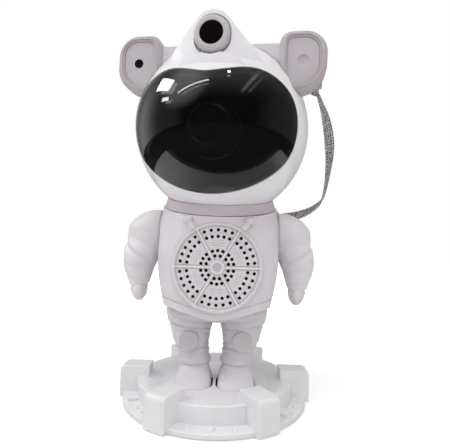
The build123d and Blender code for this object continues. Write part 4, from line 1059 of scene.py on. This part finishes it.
# ---------------------------------------------------------------- lamps
# A window high on the left with a lower pane, a tube lamp beside it and a small spot, all of which
# the visor mirrors. Large soft screens also shine on the object, but don't show in the visor.
visor_middle = HEAD_BALL * MM
TUBE_ENDS = ((-56, 30), (-21, 44))
WARM_WHITE = (1.0, 0.93, 0.96)


def toward(azimuth, elevation):
    """Place 1 m from the visor at these angles."""
    return visor_middle + bearing(azimuth, elevation)


def area(name, place, size, radiance, color=(1, 1, 1), along=None, mirrored=True):
    """A flat lamp that faces the visor; radiance 1 looks white in a perfect mirror."""
    light = bpy.data.lights.new(name, "AREA")
    light.shape = "RECTANGLE"
    light.size, light.size_y = size
    light.energy = radiance * pi * size[0] * size[1]
    light.color = color
    piece = linked(bpy.data.objects.new(name, light))
    if along is None:
        turn = (visor_middle - place).to_track_quat("-Z", "Y").to_matrix()
    else:
        away = (place - visor_middle).normalized()
        turn = Matrix((along, away.cross(along), away)).transposed()
    piece.matrix_world = Matrix.Translation(place) @ turn.to_4x4()
    piece.visible_glossy = mirrored


area("window", toward(-85, 38), (0.36, 0.19), 10)
area("window_low", toward(-73.5, 24.5), (0.16, 0.06), 10)
first, last = [toward(*end) for end in TUBE_ENDS]
area("tube_lamp", (first + last) / 2, (0.56, 0.03), 8, along=(last - first).normalized())
area("spot", toward(9, 56), (0.05, 0.05), 18)
area("ceiling_panel", Vector((-0.1, -0.65, 1.7)), (1.4, 1.0), 1.7, mirrored=False)
area("front_screen", Vector((0.0, -1.5, 0.85)), (1.3, 1.1), 0.88, mirrored=False)
area("right_screen", Vector((1.3, -0.7, 0.4)), (0.8, 0.9), 1.05, WARM_WHITE, mirrored=False)

# ---------------------------------------------------------------- camera
# It stands close in front of the object, low and nearly level. Angles are in degrees and sizes in
# millimetres; the heading and pitch are turned a little away from the object's middle.
IMAGE_W = 450
FOCAL_PX = 369.33
SENSOR_W = 36
CAMERA_AZ = 1.17
CAMERA_DISTANCE = 244.33
CAMERA_HEIGHT = 96.17
LOOK_UP = 3.38
LOOK_RIGHT = -0.81
ROLL = 1.83
azimuth = radians(CAMERA_AZ)
heading = radians(CAMERA_AZ + LOOK_RIGHT)
pitch = radians(LOOK_UP)
roll = radians(ROLL)
forward = Vector((-sin(heading) * cos(pitch), cos(heading) * cos(pitch), sin(pitch)))
level = Vector((cos(heading), sin(heading), 0))
upward = level.cross(forward)
camera_right = level * cos(roll) + upward * sin(roll)
camera_up = upward * cos(roll) - level * sin(roll)
camera = linked(bpy.data.objects.new("camera", bpy.data.cameras.new("camera")))
camera.data.sensor_width = SENSOR_W
camera.data.lens = SENSOR_W * FOCAL_PX / IMAGE_W
camera.data.clip_start = 0.01
axes = Matrix((camera_right, camera_up, -forward)).transposed().to_4x4()
stand = Vector((sin(azimuth) * CAMERA_DISTANCE, -cos(azimuth) * CAMERA_DISTANCE, CAMERA_HEIGHT))
camera.matrix_world = Matrix.Translation(stand * MM) @ axes
bpy.context.scene.camera = camera
bpy.context.scene.view_settings.view_transform = "Standard"
